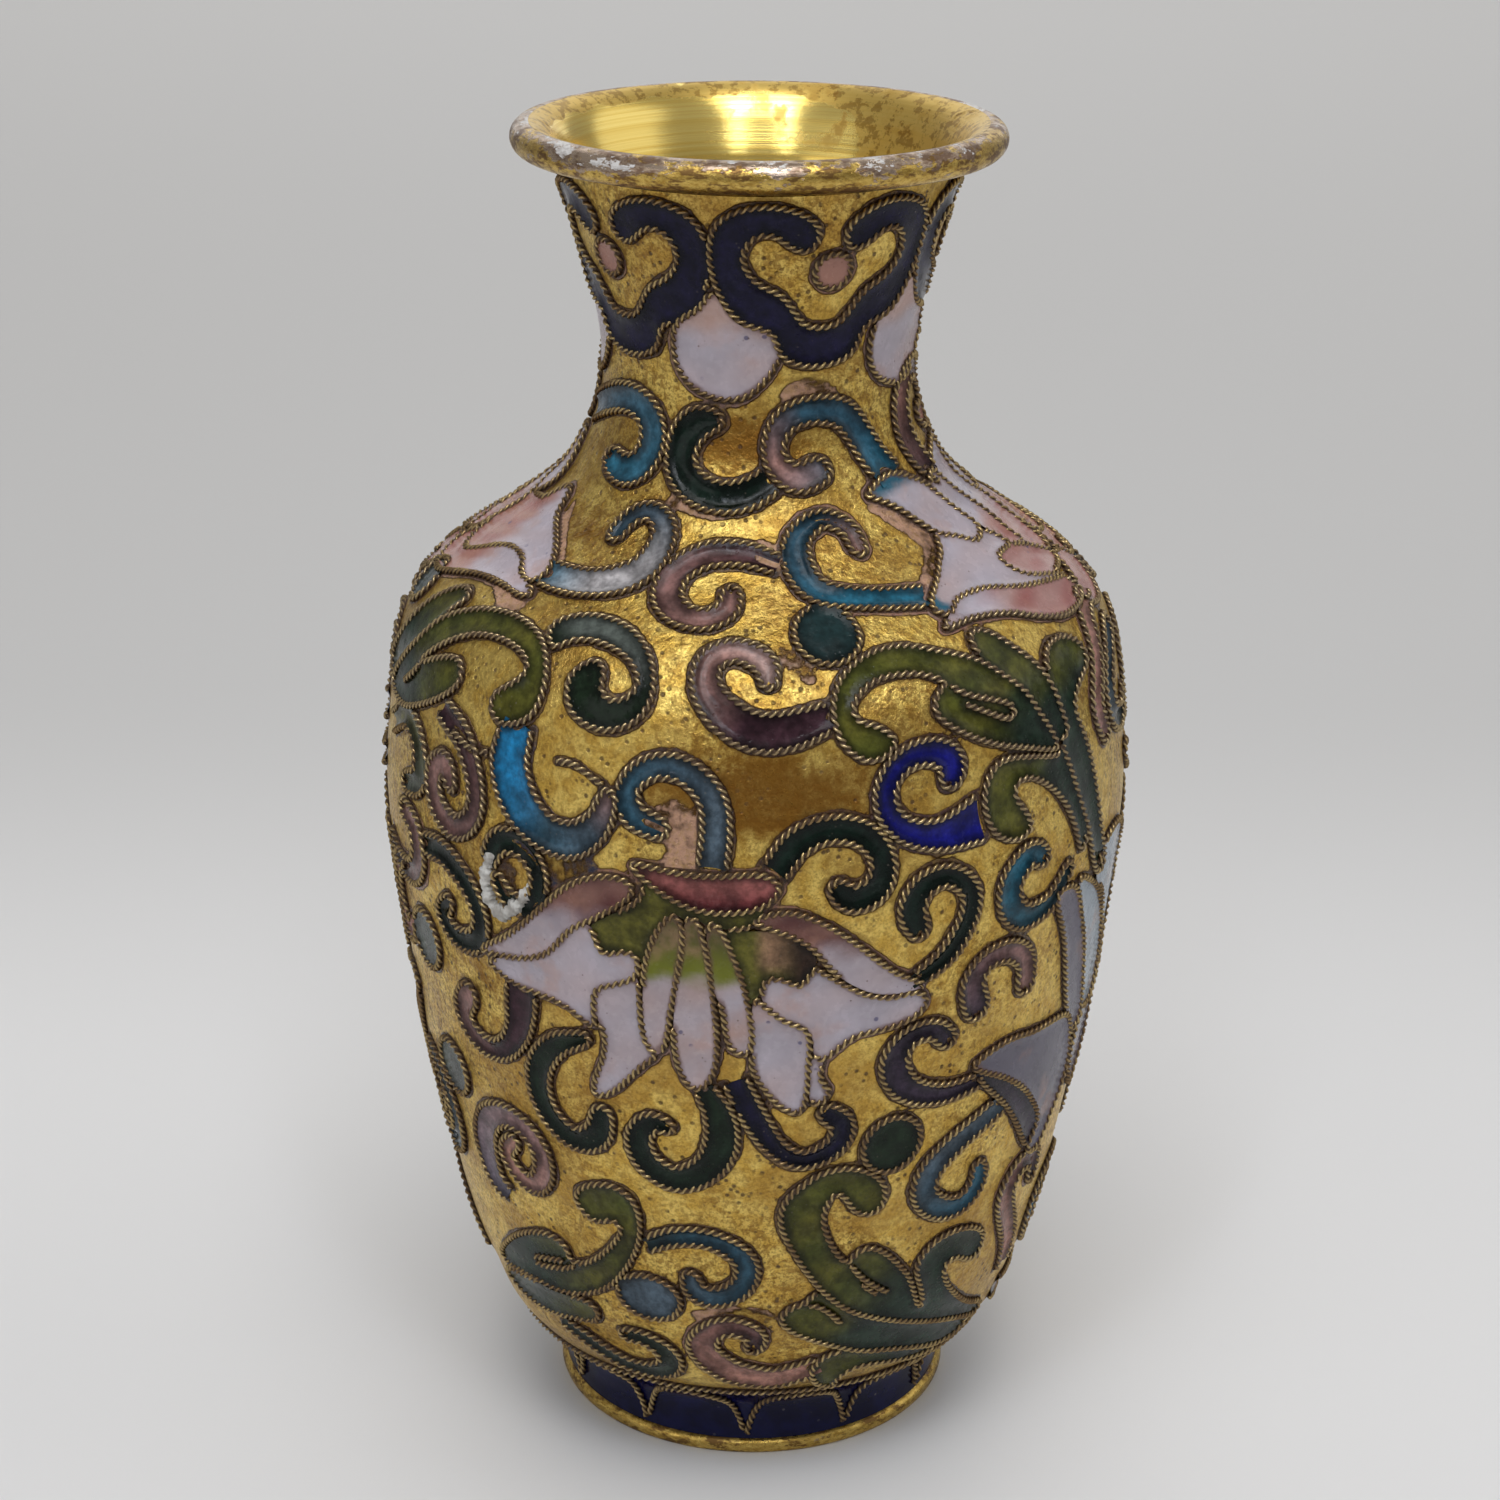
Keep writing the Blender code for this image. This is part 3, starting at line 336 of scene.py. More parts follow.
# Leaves and other cells with free outlines: (paint rule, outline of (angle, run)). A leaf's rule gives
# the place where its blades meet, and how far from there its enamel turns from dark to olive.
LEAVES = {
    "green_shoulder_leaf": (("leaf", 51.0, 80.5, 5.0, 9.5), [
        (20.6, 83.7), (19.3, 82.5), (16.5, 82.1), (13.7, 83.1), (12.0, 84.8), (11.6, 87.1),
        (13.6, 89.7), (18.0, 91.4), (22.1, 92.0), (26.5, 91.9), (30.9, 91.0), (35.3, 90.0),
        (38.6, 89.0), (41.5, 87.3), (44.7, 85.5), (47.0, 83.2), (49.8, 80.6), (50.0, 79.2),
        (44.2, 80.3), (38.8, 81.3), (34.0, 82.6), (29.6, 84.2), (27.6, 85.6), (28.4, 87.0),
        (30.4, 87.9), (27.6, 88.9), (24.2, 89.3), (19.8, 89.2), (16.3, 88.2), (14.5, 86.7),
        (15.6, 85.5), (18.2, 85.0)]),
    "right_upper_leaf": (("leaf", 53.0, 79.0, 4.5, 9.0), [
        (38.7, 89.4), (38.7, 91.4), (40.6, 92.0), (43.5, 91.3), (46.5, 89.3), (49.6, 87.0),
        (51.3, 84.7), (52.6, 82.2), (53.4, 80.4), (51.3, 79.8), (49.8, 80.6), (47.0, 83.2),
        (44.7, 85.5), (41.5, 87.3)]),
    "right_bud_and_stem": (("leaf", 60.0, 74.5, 9.0, 13.0), [
        (52.8, 80.9), (51.5, 83.1), (51.0, 85.9), (53.3, 88.1), (58.4, 88.5), (62.8, 87.1),
        (62.7, 85.2), (58.4, 83.9), (56.2, 82.3), (57.3, 80.2), (59.5, 77.3), (61.2, 74.1),
        (62.4, 70.8), (64.0, 67.7), (66.4, 65.2), (64.2, 64.0), (61.2, 65.9), (58.4, 69.9),
        (56.1, 73.1), (53.8, 76.5), (51.8, 79.2)]),
    "right_olive_curl": (("leaf", 56.0, 74.5, 4.0, 9.0), [
        (50.0, 78.6), (43.4, 79.6), (38.6, 80.0), (36.0, 79.0), (34.8, 77.0), (35.4, 74.7),
        (37.5, 72.9), (41.0, 72.1), (43.7, 72.8), (42.9, 74.3), (40.7, 76.2), (41.2, 77.5),
        (44.2, 77.5), (48.6, 75.8), (52.0, 73.6), (54.4, 70.9), (56.4, 68.0), (57.9, 69.6),
        (56.1, 73.1), (53.8, 76.5), (51.6, 78.8)]),
    "left_shoulder_leaf": (("leaf", -72.0, 81.0, 3.0, 8.5), [
        (-71.0, 79.5), (-76.4, 80.4), (-71.4, 83.7), (-67.4, 86.1), (-64.0, 88.9), (-58.3, 91.0),
        (-51.6, 92.2), (-44.8, 92.3), (-39.1, 91.3), (-35.7, 89.4), (-34.0, 87.2),
        (-34.3, 84.9), (-36.7, 83.4), (-40.6, 82.7), (-42.9, 83.7), (-42.7, 85.1),
        (-40.4, 86.2), (-38.5, 87.3), (-38.6, 88.5), (-41.6, 89.5), (-46.7, 89.9),
        (-52.7, 89.3), (-57.8, 87.7), (-62.2, 85.6), (-63.6, 84.5), (-59.7, 85.6),
        (-54.0, 86.7), (-51.4, 85.7), (-51.9, 84.2), (-57.4, 82.0), (-65.5, 79.9)]),
    "left_upper_leaf": (("leaf", -75.0, 82.0, 4.0, 9.0), [
        (-80.9, 82.2), (-76.0, 85.6), (-73.4, 88.3), (-70.2, 90.6), (-65.1, 92.6), (-61.6, 91.8),
        (-63.3, 90.0), (-65.6, 87.6), (-67.6, 86.1), (-71.4, 83.7), (-76.4, 80.4)]),
    "grey_green_spiral": ("mint_to_forest", [
        (-35.4, 90.5), (-38.0, 92.4), (-35.2, 94.0), (-29.7, 94.7), (-23.3, 94.0), (-18.9, 92.2),
        (-16.6, 90.1), (-15.9, 87.6), (-17.5, 85.5), (-21.3, 84.3), (-25.3, 84.4), (-28.5, 85.5),
        (-30.1, 87.7), (-29.0, 89.3), (-26.6, 90.2), (-24.6, 89.3), (-24.2, 87.7), (-22.4, 86.8),
        (-19.9, 87.2), (-18.5, 88.4), (-19.6, 89.9), (-22.9, 91.3), (-28.2, 92.0), (-32.4, 91.6)]),
    "olive_leaf": (("leaf", 40.0, 19.5, 7.0, 15.0), [
        (19.3, 35.0), (21.1, 35.2), (22.4, 36.3), (21.9, 38.3), (19.9, 39.7), (17.2, 40.6),
        (14.2, 40.9), (10.9, 40.5), (8.1, 39.3), (5.7, 37.8), (4.7, 36.0), (5.1, 33.9),
        (7.0, 31.4), (9.3, 29.0), (12.2, 26.5), (15.5, 24.4), (19.2, 22.7), (24.3, 21.2),
        (30.4, 19.7), (39.2, 17.7), (48.3, 15.9), (56.0, 14.4), (57.5, 15.6), (52.0, 17.1),
        (47.0, 18.9), (41.0, 22.0), (38.2, 24.5), (38.5, 25.9), (40.9, 26.0), (44.4, 24.9),
        (46.9, 25.2), (47.4, 26.9), (45.6, 28.4), (41.7, 29.5), (37.3, 29.8), (34.0, 29.2),
        (31.9, 28.0), (31.2, 26.3), (33.0, 23.8), (34.4, 21.6), (33.6, 21.2), (31.7, 23.4),
        (29.8, 25.7), (27.7, 27.3), (24.3, 29.5), (21.1, 30.7), (18.6, 30.5), (17.0, 29.4),
        (14.8, 30.6), (12.6, 33.2), (11.9, 35.4), (12.5, 37.1), (13.8, 38.0), (15.4, 37.4),
        (17.0, 35.8)]),
    "low_right_leaf": (("leaf", 36.0, 18.0, 7.0, 11.5), [
        (11.9, 25.9), (15.5, 24.2), (19.2, 22.5), (24.3, 21.0), (30.4, 19.5), (39.2, 17.5),
        (48.3, 15.7), (53.0, 14.6), (50.5, 13.2), (44.6, 13.1), (35.9, 14.6), (28.9, 15.7),
        (24.6, 16.2), (20.4, 17.0), (15.8, 18.3), (11.4, 19.6), (7.8, 20.9), (5.7, 22.2),
        (5.8, 23.4), (7.6, 24.3), (9.8, 24.7)]),
    "low_right_tip": (("leaf", 40.0, 14.0, 4.0, 9.0), [
        (18.2, 10.9), (14.6, 11.9), (12.6, 14.2), (13.9, 16.0), (17.1, 17.0), (20.5, 16.7),
        (24.7, 16.0), (28.9, 15.6), (35.9, 14.5), (44.8, 13.0), (42.0, 12.4), (36.9, 12.7),
        (29.7, 13.6), (24.0, 14.1), (20.6, 13.6), (18.9, 12.4)]),
    "left_low_leaf": (("leaf", -51.0, 22.5, 4.0, 11.0), [
        (-30.2, 33.6), (-31.3, 34.9), (-29.8, 36.4), (-26.3, 37.4), (-23.0, 37.5), (-20.4, 36.5),
        (-19.3, 34.5), (-19.6, 32.0), (-21.2, 29.4), (-23.6, 27.1), (-26.6, 25.0), (-31.0, 23.2),
        (-36.3, 22.0), (-41.1, 21.5), (-46.0, 21.5), (-51.9, 21.2), (-57.2, 20.7), (-58.0, 22.0),
        (-53.2, 24.6), (-47.8, 26.9), (-42.0, 28.5), (-38.2, 28.8), (-35.5, 28.1),
        (-34.9, 26.7), (-32.4, 26.6), (-28.4, 28.2), (-24.8, 30.5), (-22.9, 32.5),
        (-24.6, 33.4), (-27.6, 32.7)]),
    "left_low_tip": (("leaf", -54.0, 18.5, 4.0, 9.0), [
        (-56.9, 20.1), (-51.6, 20.7), (-45.7, 21.1), (-41.3, 21.1), (-36.5, 21.5), (-32.8, 21.6),
        (-31.0, 20.4), (-32.5, 18.9), (-35.7, 18.4), (-39.6, 17.8), (-45.3, 17.0), (-51.6, 16.7),
        (-57.0, 17.2), (-60.0, 18.4)]),
}

# Short wires inside those cells, between two blades, as paths of (angle, run).
VEINS = [
    [(30.4, 87.9), (33.6, 86.5), (37.8, 85.6), (41.3, 84.7), (41.6, 83.7), (40.0, 83.6), (36.6, 84.6),
     (33.0, 85.7)],
    [(17.0, 29.4), (19.8, 27.2), (23.1, 25.5), (25.9, 24.4)],
    [(18.4, 28.6), (20.2, 26.3), (23.6, 24.5)],
    [(8.4, 24.4), (11.9, 24.2), (14.8, 22.9), (17.0, 21.4)],
    [(-45.1, 24.7), (-40.9, 25.4), (-36.9, 26.0)],
    [(-45.1, 24.0), (-41.5, 24.3), (-36.0, 25.3), (-33.4, 26.4)],
    [(-64.0, 84.2), (-66.5, 82.8), (-69.4, 81.6)],
    [(-21.6, 79.3), (-24.2, 80.0), (-27.0, 80.8), (-29.8, 80.7)],
    [(-56.0, 80.9), (-51.0, 80.3), (-46.6, 79.5), (-42.6, 79.7)],
]

# Brown tarnish on the gilding: (angle, run, half width and half height in millimetres, strength).
STAINS = [
    (-4.0, 114.0, 8.0, 3.2, 1.0), (36.0, 120.5, 5.0, 2.0, 0.7), (1.0, 79.4, 12.0, 4.6, 1.15),
    (-52.0, 103.0, 5.0, 4.0, 0.6), (-60.0, 86.0, 5.0, 3.0, 0.6), (32.0, 87.0, 5.0, 2.5, 0.7),
    (-20.0, 60.0, 4.0, 3.0, 0.5), (12.0, 57.0, 4.0, 3.0, 0.5), (-46.0, 56.0, 4.0, 4.0, 0.6),
    (28.0, 57.5, 4.0, 2.5, 0.6), (50.0, 30.0, 6.0, 4.0, 0.4), (70.0, 60.0, 7.0, 9.0, 0.5),
]

# Places where enamel ran out over the gilding, without a wire round it: (colour, outline).
SPILLS = [
    ("rose", [(8.0, 117.9), (11.5, 119.0), (16.9, 119.5), (23.6, 119.2), (30.0, 118.3), (27.0, 117.7),
              (14.0, 117.6)]),
    ("rose", [(34.0, 107.0), (37.4, 105.6), (41.1, 103.7), (43.3, 101.7), (39.7, 99.8), (37.0, 98.6),
              (38.9, 97.8), (43.4, 98.9), (48.0, 101.5), (49.0, 103.0), (45.4, 104.6), (40.6, 106.4)]),
    ("rose", [(-16.0, 76.6), (-12.0, 78.8), (-8.4, 77.6), (-7.8, 74.6), (-8.2, 72.4), (-13.5, 72.4),
              (-12.4, 74.4)]),
    ("rose", [(4.0, 93.0), (7.4, 92.2), (9.6, 90.2), (8.4, 89.2), (5.8, 90.4), (3.8, 91.6)]),
    ("rose", [(-53.5, 92.9), (-49.0, 92.7), (-47.0, 94.0), (-51.0, 94.8), (-62.0, 95.0)]),
    ("rose", [(-61.4, 105.4), (-54.6, 102.4), (-48.0, 99.8), (-48.6, 99.0), (-54.3, 101.0),
              (-60.0, 103.2)]),
    ("bare", [(-40.4, 69.8), (-38.6, 70.8), (-36.4, 69.6), (-36.6, 67.6), (-38.8, 66.6), (-40.8, 67.6)]),
    ("navy", [(-37.6, 72.6), (-31.0, 72.4), (-25.0, 72.6), (-22.6, 71.2), (-28.0, 69.6), (-31.2, 68.2),
              (-32.0, 70.6)]),
    ("rose", [(-23.0, 109.2), (-16.6, 107.5), (-9.0, 107.0), (-12.0, 106.6), (-22.0, 107.0),
              (-28.0, 107.6)]),
    ("rose", [(0.6, 104.6), (6.2, 103.8), (7.6, 101.6), (4.6, 101.2), (0.0, 102.6)]),
    ("rose", [(8.0, 21.0), (3.4, 22.8), (-1.4, 23.4), (-6.0, 23.2), (-10.0, 22.2), (-11.0, 23.2),
              (-4.0, 24.2), (3.0, 23.9)]),
]

# Petals and the calyx of the large lotus: (paint rule, outline of (angle, run)).
PETALS = {
    "lotus_crown_petal": ("crown", [
        (-17.5, 72.6), (-12.0, 72.2), (-6.0, 72.0), (1.0, 72.3), (3.6, 71.0), (1.0, 69.2),
        (-5.0, 68.6), (-10.0, 69.2), (-15.0, 71.0)]),
    "lotus_left_upper_petal": ("blush_to_white", [
        (-45.0, 60.0), (-39.0, 62.5), (-33.5, 65.6), (-28.0, 69.1), (-23.0, 70.8),
        (-18.3, 70.9), (-17.4, 69.5), (-23.3, 66.7), (-27.0, 65.2), (-31.0, 62.3),
        (-34.5, 61.1), (-38.7, 60.4)]),
    "lotus_left_wing": ("white", [
        (-43.2, 59.1), (-38.7, 60.4), (-34.5, 61.1), (-31.0, 62.3), (-27.0, 65.2),
        (-23.8, 66.0), (-22.2, 63.4), (-19.0, 63.9), (-16.8, 63.5), (-17.1, 61.5),
        (-20.5, 60.3), (-23.5, 59.4), (-24.1, 57.3), (-24.4, 55.3), (-29.3, 57.1),
        (-37.3, 57.6), (-40.8, 58.2)]),
    "lotus_left_lower_petal": ("white", [
        (-17.0, 61.4), (-20.5, 60.3), (-23.5, 59.4), (-24.1, 57.3), (-22.6, 54.8),
        (-23.2, 52.1), (-24.8, 49.8), (-25.0, 47.9), (-22.0, 48.6), (-19.2, 50.4),
        (-16.8, 52.1), (-14.6, 53.4), (-16.1, 54.6), (-16.7, 57.4)]),
    "lotus_narrow_left_petal": ("green_to_white", [
        (-13.8, 66.4), (-15.6, 63.2), (-16.1, 60.5), (-16.3, 57.4), (-15.8, 54.6),
        (-14.4, 53.6), (-13.0, 54.8), (-12.3, 57.4), (-11.5, 60.4), (-10.4, 64.0),
        (-10.1, 67.0), (-11.4, 68.2)]),
    "lotus_centre_petal": ("green_to_white", [
        (-9.6, 67.6), (-10.4, 64.0), (-11.3, 60.0), (-11.8, 56.0), (-11.4, 53.0),
        (-10.1, 50.8), (-8.3, 50.2), (-6.3, 51.4), (-5.4, 54.0), (-5.4, 57.0), (-6.0, 61.0),
        (-6.8, 65.0), (-7.9, 67.8)]),
    "lotus_narrow_right_petal": ("green_to_white", [
        (-6.6, 65.4), (-5.8, 61.0), (-4.5, 58.9), (-3.8, 55.4), (-2.2, 54.3), (-0.6, 54.4),
        (-0.2, 56.2), (-0.7, 58.9), (-1.6, 61.8), (-3.0, 64.5), (-4.7, 67.2), (-6.3, 67.4)]),
    "lotus_right_lower_petal": ("white", [
        (-0.3, 58.4), (0.3, 60.0), (2.2, 58.9), (4.5, 57.7), (7.4, 56.8), (8.3, 55.4),
        (8.2, 52.8), (8.1, 50.1), (7.7, 48.3), (6.4, 47.7), (4.0, 48.6), (1.7, 50.4),
        (-0.2, 52.7), (0.0, 55.4)]),
    "lotus_right_wing": ("white", [
        (1.1, 60.3), (1.7, 61.9), (3.6, 62.1), (5.4, 61.6), (7.0, 61.4), (8.7, 63.0),
        (10.2, 62.4), (13.4, 61.0), (16.6, 59.8), (20.4, 59.2), (24.7, 59.3), (26.2, 57.9),
        (24.0, 56.6), (19.5, 55.9), (15.7, 55.7), (12.8, 54.6), (10.4, 53.4), (9.0, 54.0),
        (8.6, 55.7), (7.4, 57.0), (4.6, 57.9), (2.2, 59.0)]),
    "lotus_right_upper_petal": ("blush_to_white", [
        (0.0, 67.9), (2.5, 68.6), (5.9, 68.6), (9.8, 67.5), (13.5, 65.8), (17.2, 63.7),
        (21.0, 61.6), (25.6, 59.9), (21.4, 59.5), (17.6, 59.9), (14.3, 61.0), (11.0, 62.8),
        (8.7, 64.8), (5.9, 66.2), (3.0, 67.0)]),
    "lotus_calyx_left": ("olive", [
        (-15.0, 71.0), (-16.0, 69.4), (-18.5, 68.2), (-21.5, 67.1), (-23.8, 65.7),
        (-22.2, 63.4), (-19.0, 63.9), (-16.8, 63.5), (-15.6, 63.2), (-13.8, 66.4),
        (-11.4, 68.2), (-9.8, 67.9), (-8.0, 67.9), (-6.3, 67.4), (-4.7, 67.2), (-1.5, 67.2),
        (0.0, 67.9), (1.0, 69.2), (-5.0, 68.6), (-10.0, 69.2)]),
    "lotus_calyx_right": ("olive_to_brown", [
        (-0.6, 67.0), (3.0, 66.9), (5.9, 66.1), (8.6, 64.4), (8.4, 62.9), (7.0, 61.4),
        (5.4, 61.6), (3.6, 62.1), (1.7, 61.9), (0.6, 60.4), (-0.8, 59.6), (-1.6, 61.8),
        (-3.0, 64.5), (-4.2, 66.8)]),
    "lotus_right_sliver": ("white", [
        (8.6, 53.4), (10.3, 53.2), (10.0, 51.4), (11.6, 49.8), (10.4, 48.7), (8.7, 48.9),
        (8.5, 51.0)]),
}

# The lotus that spans each side of the shoulder.
SHOULDER_PETALS = {
    "shoulder_petal_high": ("blue_tip_high", [
        (34.7, 108.1), (38.5, 109.0), (42.3, 109.5), (48.1, 109.6), (55.3, 108.6), (62.0, 107.0),
        (65.3, 103.9), (67.3, 101.5), (62.5, 100.4), (59.4, 100.7), (56.0, 101.7), (51.0, 102.6),
        (48.0, 104.2), (43.4, 106.4), (37.8, 107.6)]),
    "shoulder_petal_low": ("blue_tip_low", [
        (49.6, 102.6), (47.9, 101.2), (44.6, 99.9), (40.0, 97.9), (36.4, 96.4), (35.2, 95.2),
        (36.4, 94.4), (38.7, 94.4), (40.7, 95.3), (44.3, 95.8), (51.0, 95.7), (59.3, 94.3),
        (66.9, 93.4), (75.7, 92.4), (72.0, 93.4), (64.9, 94.9), (62.2, 96.6), (62.4, 97.9),
        (66.5, 98.2), (70.7, 98.2), (70.3, 99.5), (68.2, 100.6), (64.6, 100.6), (62.0, 100.4),
        (59.4, 100.7), (56.0, 101.7), (51.6, 102.6)]),
    "shoulder_petal_small": ("pink", [
        (62.6, 97.9), (62.2, 96.6), (64.9, 94.9), (72.4, 93.4), (80.0, 93.4), (83.0, 94.4),
        (77.3, 96.8), (71.1, 98.0)]),
    "shoulder_petal_pink": ("pink_from_white", [
        (34.8, 92.8), (37.5, 94.1), (40.4, 95.0), (44.3, 95.7), (51.0, 95.6), (59.3, 94.2),
        (66.9, 93.3), (74.8, 92.2), (76.9, 90.9), (75.6, 90.0), (70.7, 89.7), (64.0, 89.8),
        (56.9, 91.0), (50.6, 92.5), (43.7, 93.2), (38.6, 93.1)]),
    "shoulder_petal_rising": ("white_to_pink", [
        (62.6, 107.3), (69.4, 108.4), (75.4, 104.9), (78.6, 101.5), (77.4, 99.2), (77.8, 97.0),
        (71.4, 98.3), (70.6, 99.7), (68.6, 101.0), (66.0, 103.9)]),
    "shoulder_petal_middle": ("white_to_pink", [
        (70.6, 108.8), (77.0, 110.2), (85.4, 110.6), (86.6, 107.0), (88.4, 104.0), (92.4, 102.2),
        (90.2, 98.4), (88.0, 95.7), (83.4, 94.6), (78.2, 97.0), (77.8, 99.2), (79.0, 101.5),
        (75.8, 105.0)]),
    "shoulder_petal_falling": ("white", [
        (86.2, 110.6), (91.0, 111.4), (96.3, 111.0), (99.0, 107.5), (98.4, 104.9), (92.9, 102.5),
        (88.8, 104.0), (87.0, 107.2)]),
    "shoulder_petal_far": ("pink_west", [
        (92.7, 102.2), (98.4, 103.2), (104.1, 103.7), (107.7, 105.4), (111.4, 106.2),
        (114.6, 105.2), (116.6, 103.6), (120.6, 102.4), (125.7, 101.0), (129.7, 99.3),
        (131.2, 97.4), (129.1, 96.1), (124.6, 96.7), (121.0, 98.0), (114.4, 98.3), (108.3, 97.3),
        (102.7, 95.6), (97.8, 94.6), (91.0, 96.4)]),
    "shoulder_petal_far_low": ("pink_west", [
        (91.4, 96.0), (97.8, 94.4), (102.7, 95.4), (108.3, 97.1), (114.4, 98.1), (120.6, 97.8),
        (124.4, 96.5), (129.0, 95.9), (132.4, 95.0), (130.1, 94.4), (123.4, 94.7), (115.5, 94.4),
        (108.2, 93.2), (98.3, 91.3), (92.0, 91.6), (88.4, 93.4), (88.6, 95.0)]),
    "shoulder_petal_under": ("pink", [
        (83.6, 93.9), (87.8, 93.2), (91.8, 91.3), (88.0, 89.2), (82.0, 88.0), (76.0, 88.8),
        (77.4, 90.6), (79.6, 92.2)]),
}
BELLY_CENTRE = 84.0
BELLY_PETALS = {
    "side_wing": ("lilac", [
        (36.4, 49.6), (43.0, 50.9), (50.0, 50.4), (57.0, 50.2), (61.5, 49.2), (64.5, 45.8),
        (66.0, 42.0), (63.0, 37.6), (59.5, 34.6), (55.5, 35.6), (57.2, 38.6), (53.8, 41.4),
        (49.8, 44.0), (44.0, 46.6), (38.4, 48.4)]),
    "side_wing_lower": ("violet", [
        (37.8, 48.2), (44.0, 46.5), (49.8, 43.8), (53.8, 41.2), (57.0, 38.4), (55.3, 35.8),
        (50.2, 39.6), (45.4, 43.2), (40.0, 46.3)]),
    "side_upper_petal": ("lilac", [
        (50.6, 64.6), (56.0, 64.6), (59.6, 60.6), (62.8, 56.6), (65.4, 52.0), (67.6, 48.2),
        (64.4, 46.8), (60.2, 49.8), (57.4, 54.2), (54.6, 59.4)]),
    "side_pale_petal": ("pale", [
        (56.6, 65.2), (62.6, 63.4), (67.6, 60.4), (71.6, 56.4), (74.6, 52.0), (73.8, 48.4),
        (68.2, 48.4), (65.8, 52.2), (63.2, 56.8), (60.0, 60.8)]),
    "side_blue_petal": ("pale", [
        (66.6, 67.0), (74.0, 67.2), (80.6, 64.2), (83.4, 59.0), (83.4, 52.0), (79.4, 50.2),
        (75.4, 52.6), (72.2, 56.8), (68.2, 61.0), (63.4, 63.8)]),
    "side_hanging_petal": ("green_to_lilac", [
        (68.0, 47.8), (73.6, 47.8), (78.8, 49.6), (79.6, 45.0), (76.8, 40.6), (72.4, 38.6),
        (68.6, 41.0), (66.8, 44.4)]),
    "side_centre_petal": ("green_to_lilac", [
        (83.6, 51.4), (80.0, 49.6), (80.4, 44.0), (81.8, 40.4), (84.0, 38.8)]),
}
SIDE_SQUEEZE = 0.5

# Skirts of enamel beside the wires. A spill counts as lying at least FILM_REACH from a wire, so that it
# stays clear of the painted shade and dirt there.
SKIRT_REACH = 0.50
PINK_SKIRT = 0.15
FILM_REACH = 0.42
SPILL_WINDOW = 14
SKIRT_BROWN = (0.075, 0.036, 0.020)
SKIRT_ROSY = (0.25, 0.13, 0.09)
SKIRT_OWN_SHARE = 0.12
SPILL_TINTS = {"rose": (0.50, 0.29, 0.19), "navy": (0.016, 0.024, 0.055), "bare": (0.05, 0.028, 0.018)}
PATTERN_TURNS = (("front", 0.0), ("back", 180.0))

# The patch beside the lotus where the enamel has chipped off and shows white filler.
CHIP_LINE = [
    (-41.4, 70.4, 0.5), (-42.2, 68.2, 0.75), (-41.8, 65.9, 0.65), (-39.6, 64.9, 0.8),
    (-36.5, 66.0, 0.65), (-34.4, 67.8, 0.45), (-33.8, 68.8, 0.3),
]
CHIP_HEIGHT = 0.85
CHIP_STEP = 0.12
CHIP_COLUMNS = 9

# The stage: the camera and the lights in metres, the rings of the floor in millimetres. Lights are
# name: (place, target, size, watts, colour).
CAMERA_PLACE = (0.0, -0.2845, 0.1784)
CAMERA_PITCH = 0.370
CAMERA_ROLL = math.radians(0.359)
CAMERA_LENS = 74.25
CAMERA_SENSOR = 36.0
CAMERA_SHIFT = -0.0036
PLAIN_LIGHT = (1.0, 1.0, 1.0)
COOL_LIGHT = (0.92, 1.0, 1.14)
LIGHTS = {
    "overhead": ((0.0, -0.22, 0.60), (0.0, -0.04, 0.06), (0.30, 0.34), 1.28, PLAIN_LIGHT),
    "lamp_right": ((0.085, -0.30, 0.50), (0.0, 0.0, 0.11), (0.04, 0.26), 0.20, COOL_LIGHT),
    "lamp_left": ((-0.11, -0.30, 0.50), (0.0, 0.0, 0.11), (0.04, 0.26), 0.22, COOL_LIGHT),
    "front": ((-0.95, -0.85, 0.50), (0.0, 0.0, 0.07), (0.80, 0.60), 1.40, PLAIN_LIGHT),
    "window": ((0.95, 0.10, 0.65), (0.0, 0.0, 0.10), (0.90, 0.80), 1.35, PLAIN_LIGHT),
    "backdrop": ((0.0, 1.50, 0.55), (0.0, 0.0, 0.15), (1.90, 0.90), 3.3, PLAIN_LIGHT),
    "far_wash": ((0.0, 1.00, 0.90), (0.0, 1.00, 0.0), (1.20, 0.80), 2.5, PLAIN_LIGHT),
}
FLOOR_RINGS = (0, 200, 600, 1500, 3500, 15000)
FLOOR_TURN = 7.5
SURROUND_TINT = (1.0, 0.985, 0.965, 1.0)
SURROUND_RAMP = {"From Min": 0.0, "From Max": 0.55, "To Min": 0.25, "To Max": 0.38}

# ---------------------------------------------------------------- curves on the wall


def smooth_curve(points, steps, closed=False):
    """Points on a Catmull-Rom spline through the given ones, with this many steps in each span."""
    given = np.array(points, float)
    if closed:
        padded = np.vstack([given[-1], given, given[:2]])
    else:
        padded = np.vstack([2 * given[0] - given[1], given, 2 * given[-1] - given[-2]])
    t = (np.arange(steps) / steps)[:, None]
    found = []
    for i in range(1, len(padded) - 2):
        a, b, c, d = padded[i - 1 : i + 3]
        cubic = (3 * b - a - 3 * c + d) * t**3
        found.append(0.5 * (cubic + (2 * a - 5 * b + 4 * c - d) * t**2 + (c - a) * t + 2 * b))
    if not closed:
        found.append(padded[-2][None])
    return np.vstack(found)


def unit(vectors):
    return vectors / np.maximum(np.linalg.norm(vectors, axis=1, keepdims=True), 1e-9)


WALL_LINE = smooth_curve(PROFILE, 24)
WALL_RUN = np.concatenate([[0.0], np.cumsum(np.hypot(*np.diff(WALL_LINE, axis=0).T))])
WALL_SLOPE = unit(np.gradient(WALL_LINE, WALL_RUN, axis=0))


def height_at(run):
    return np.interp(run, WALL_RUN, WALL_LINE[:, 0])


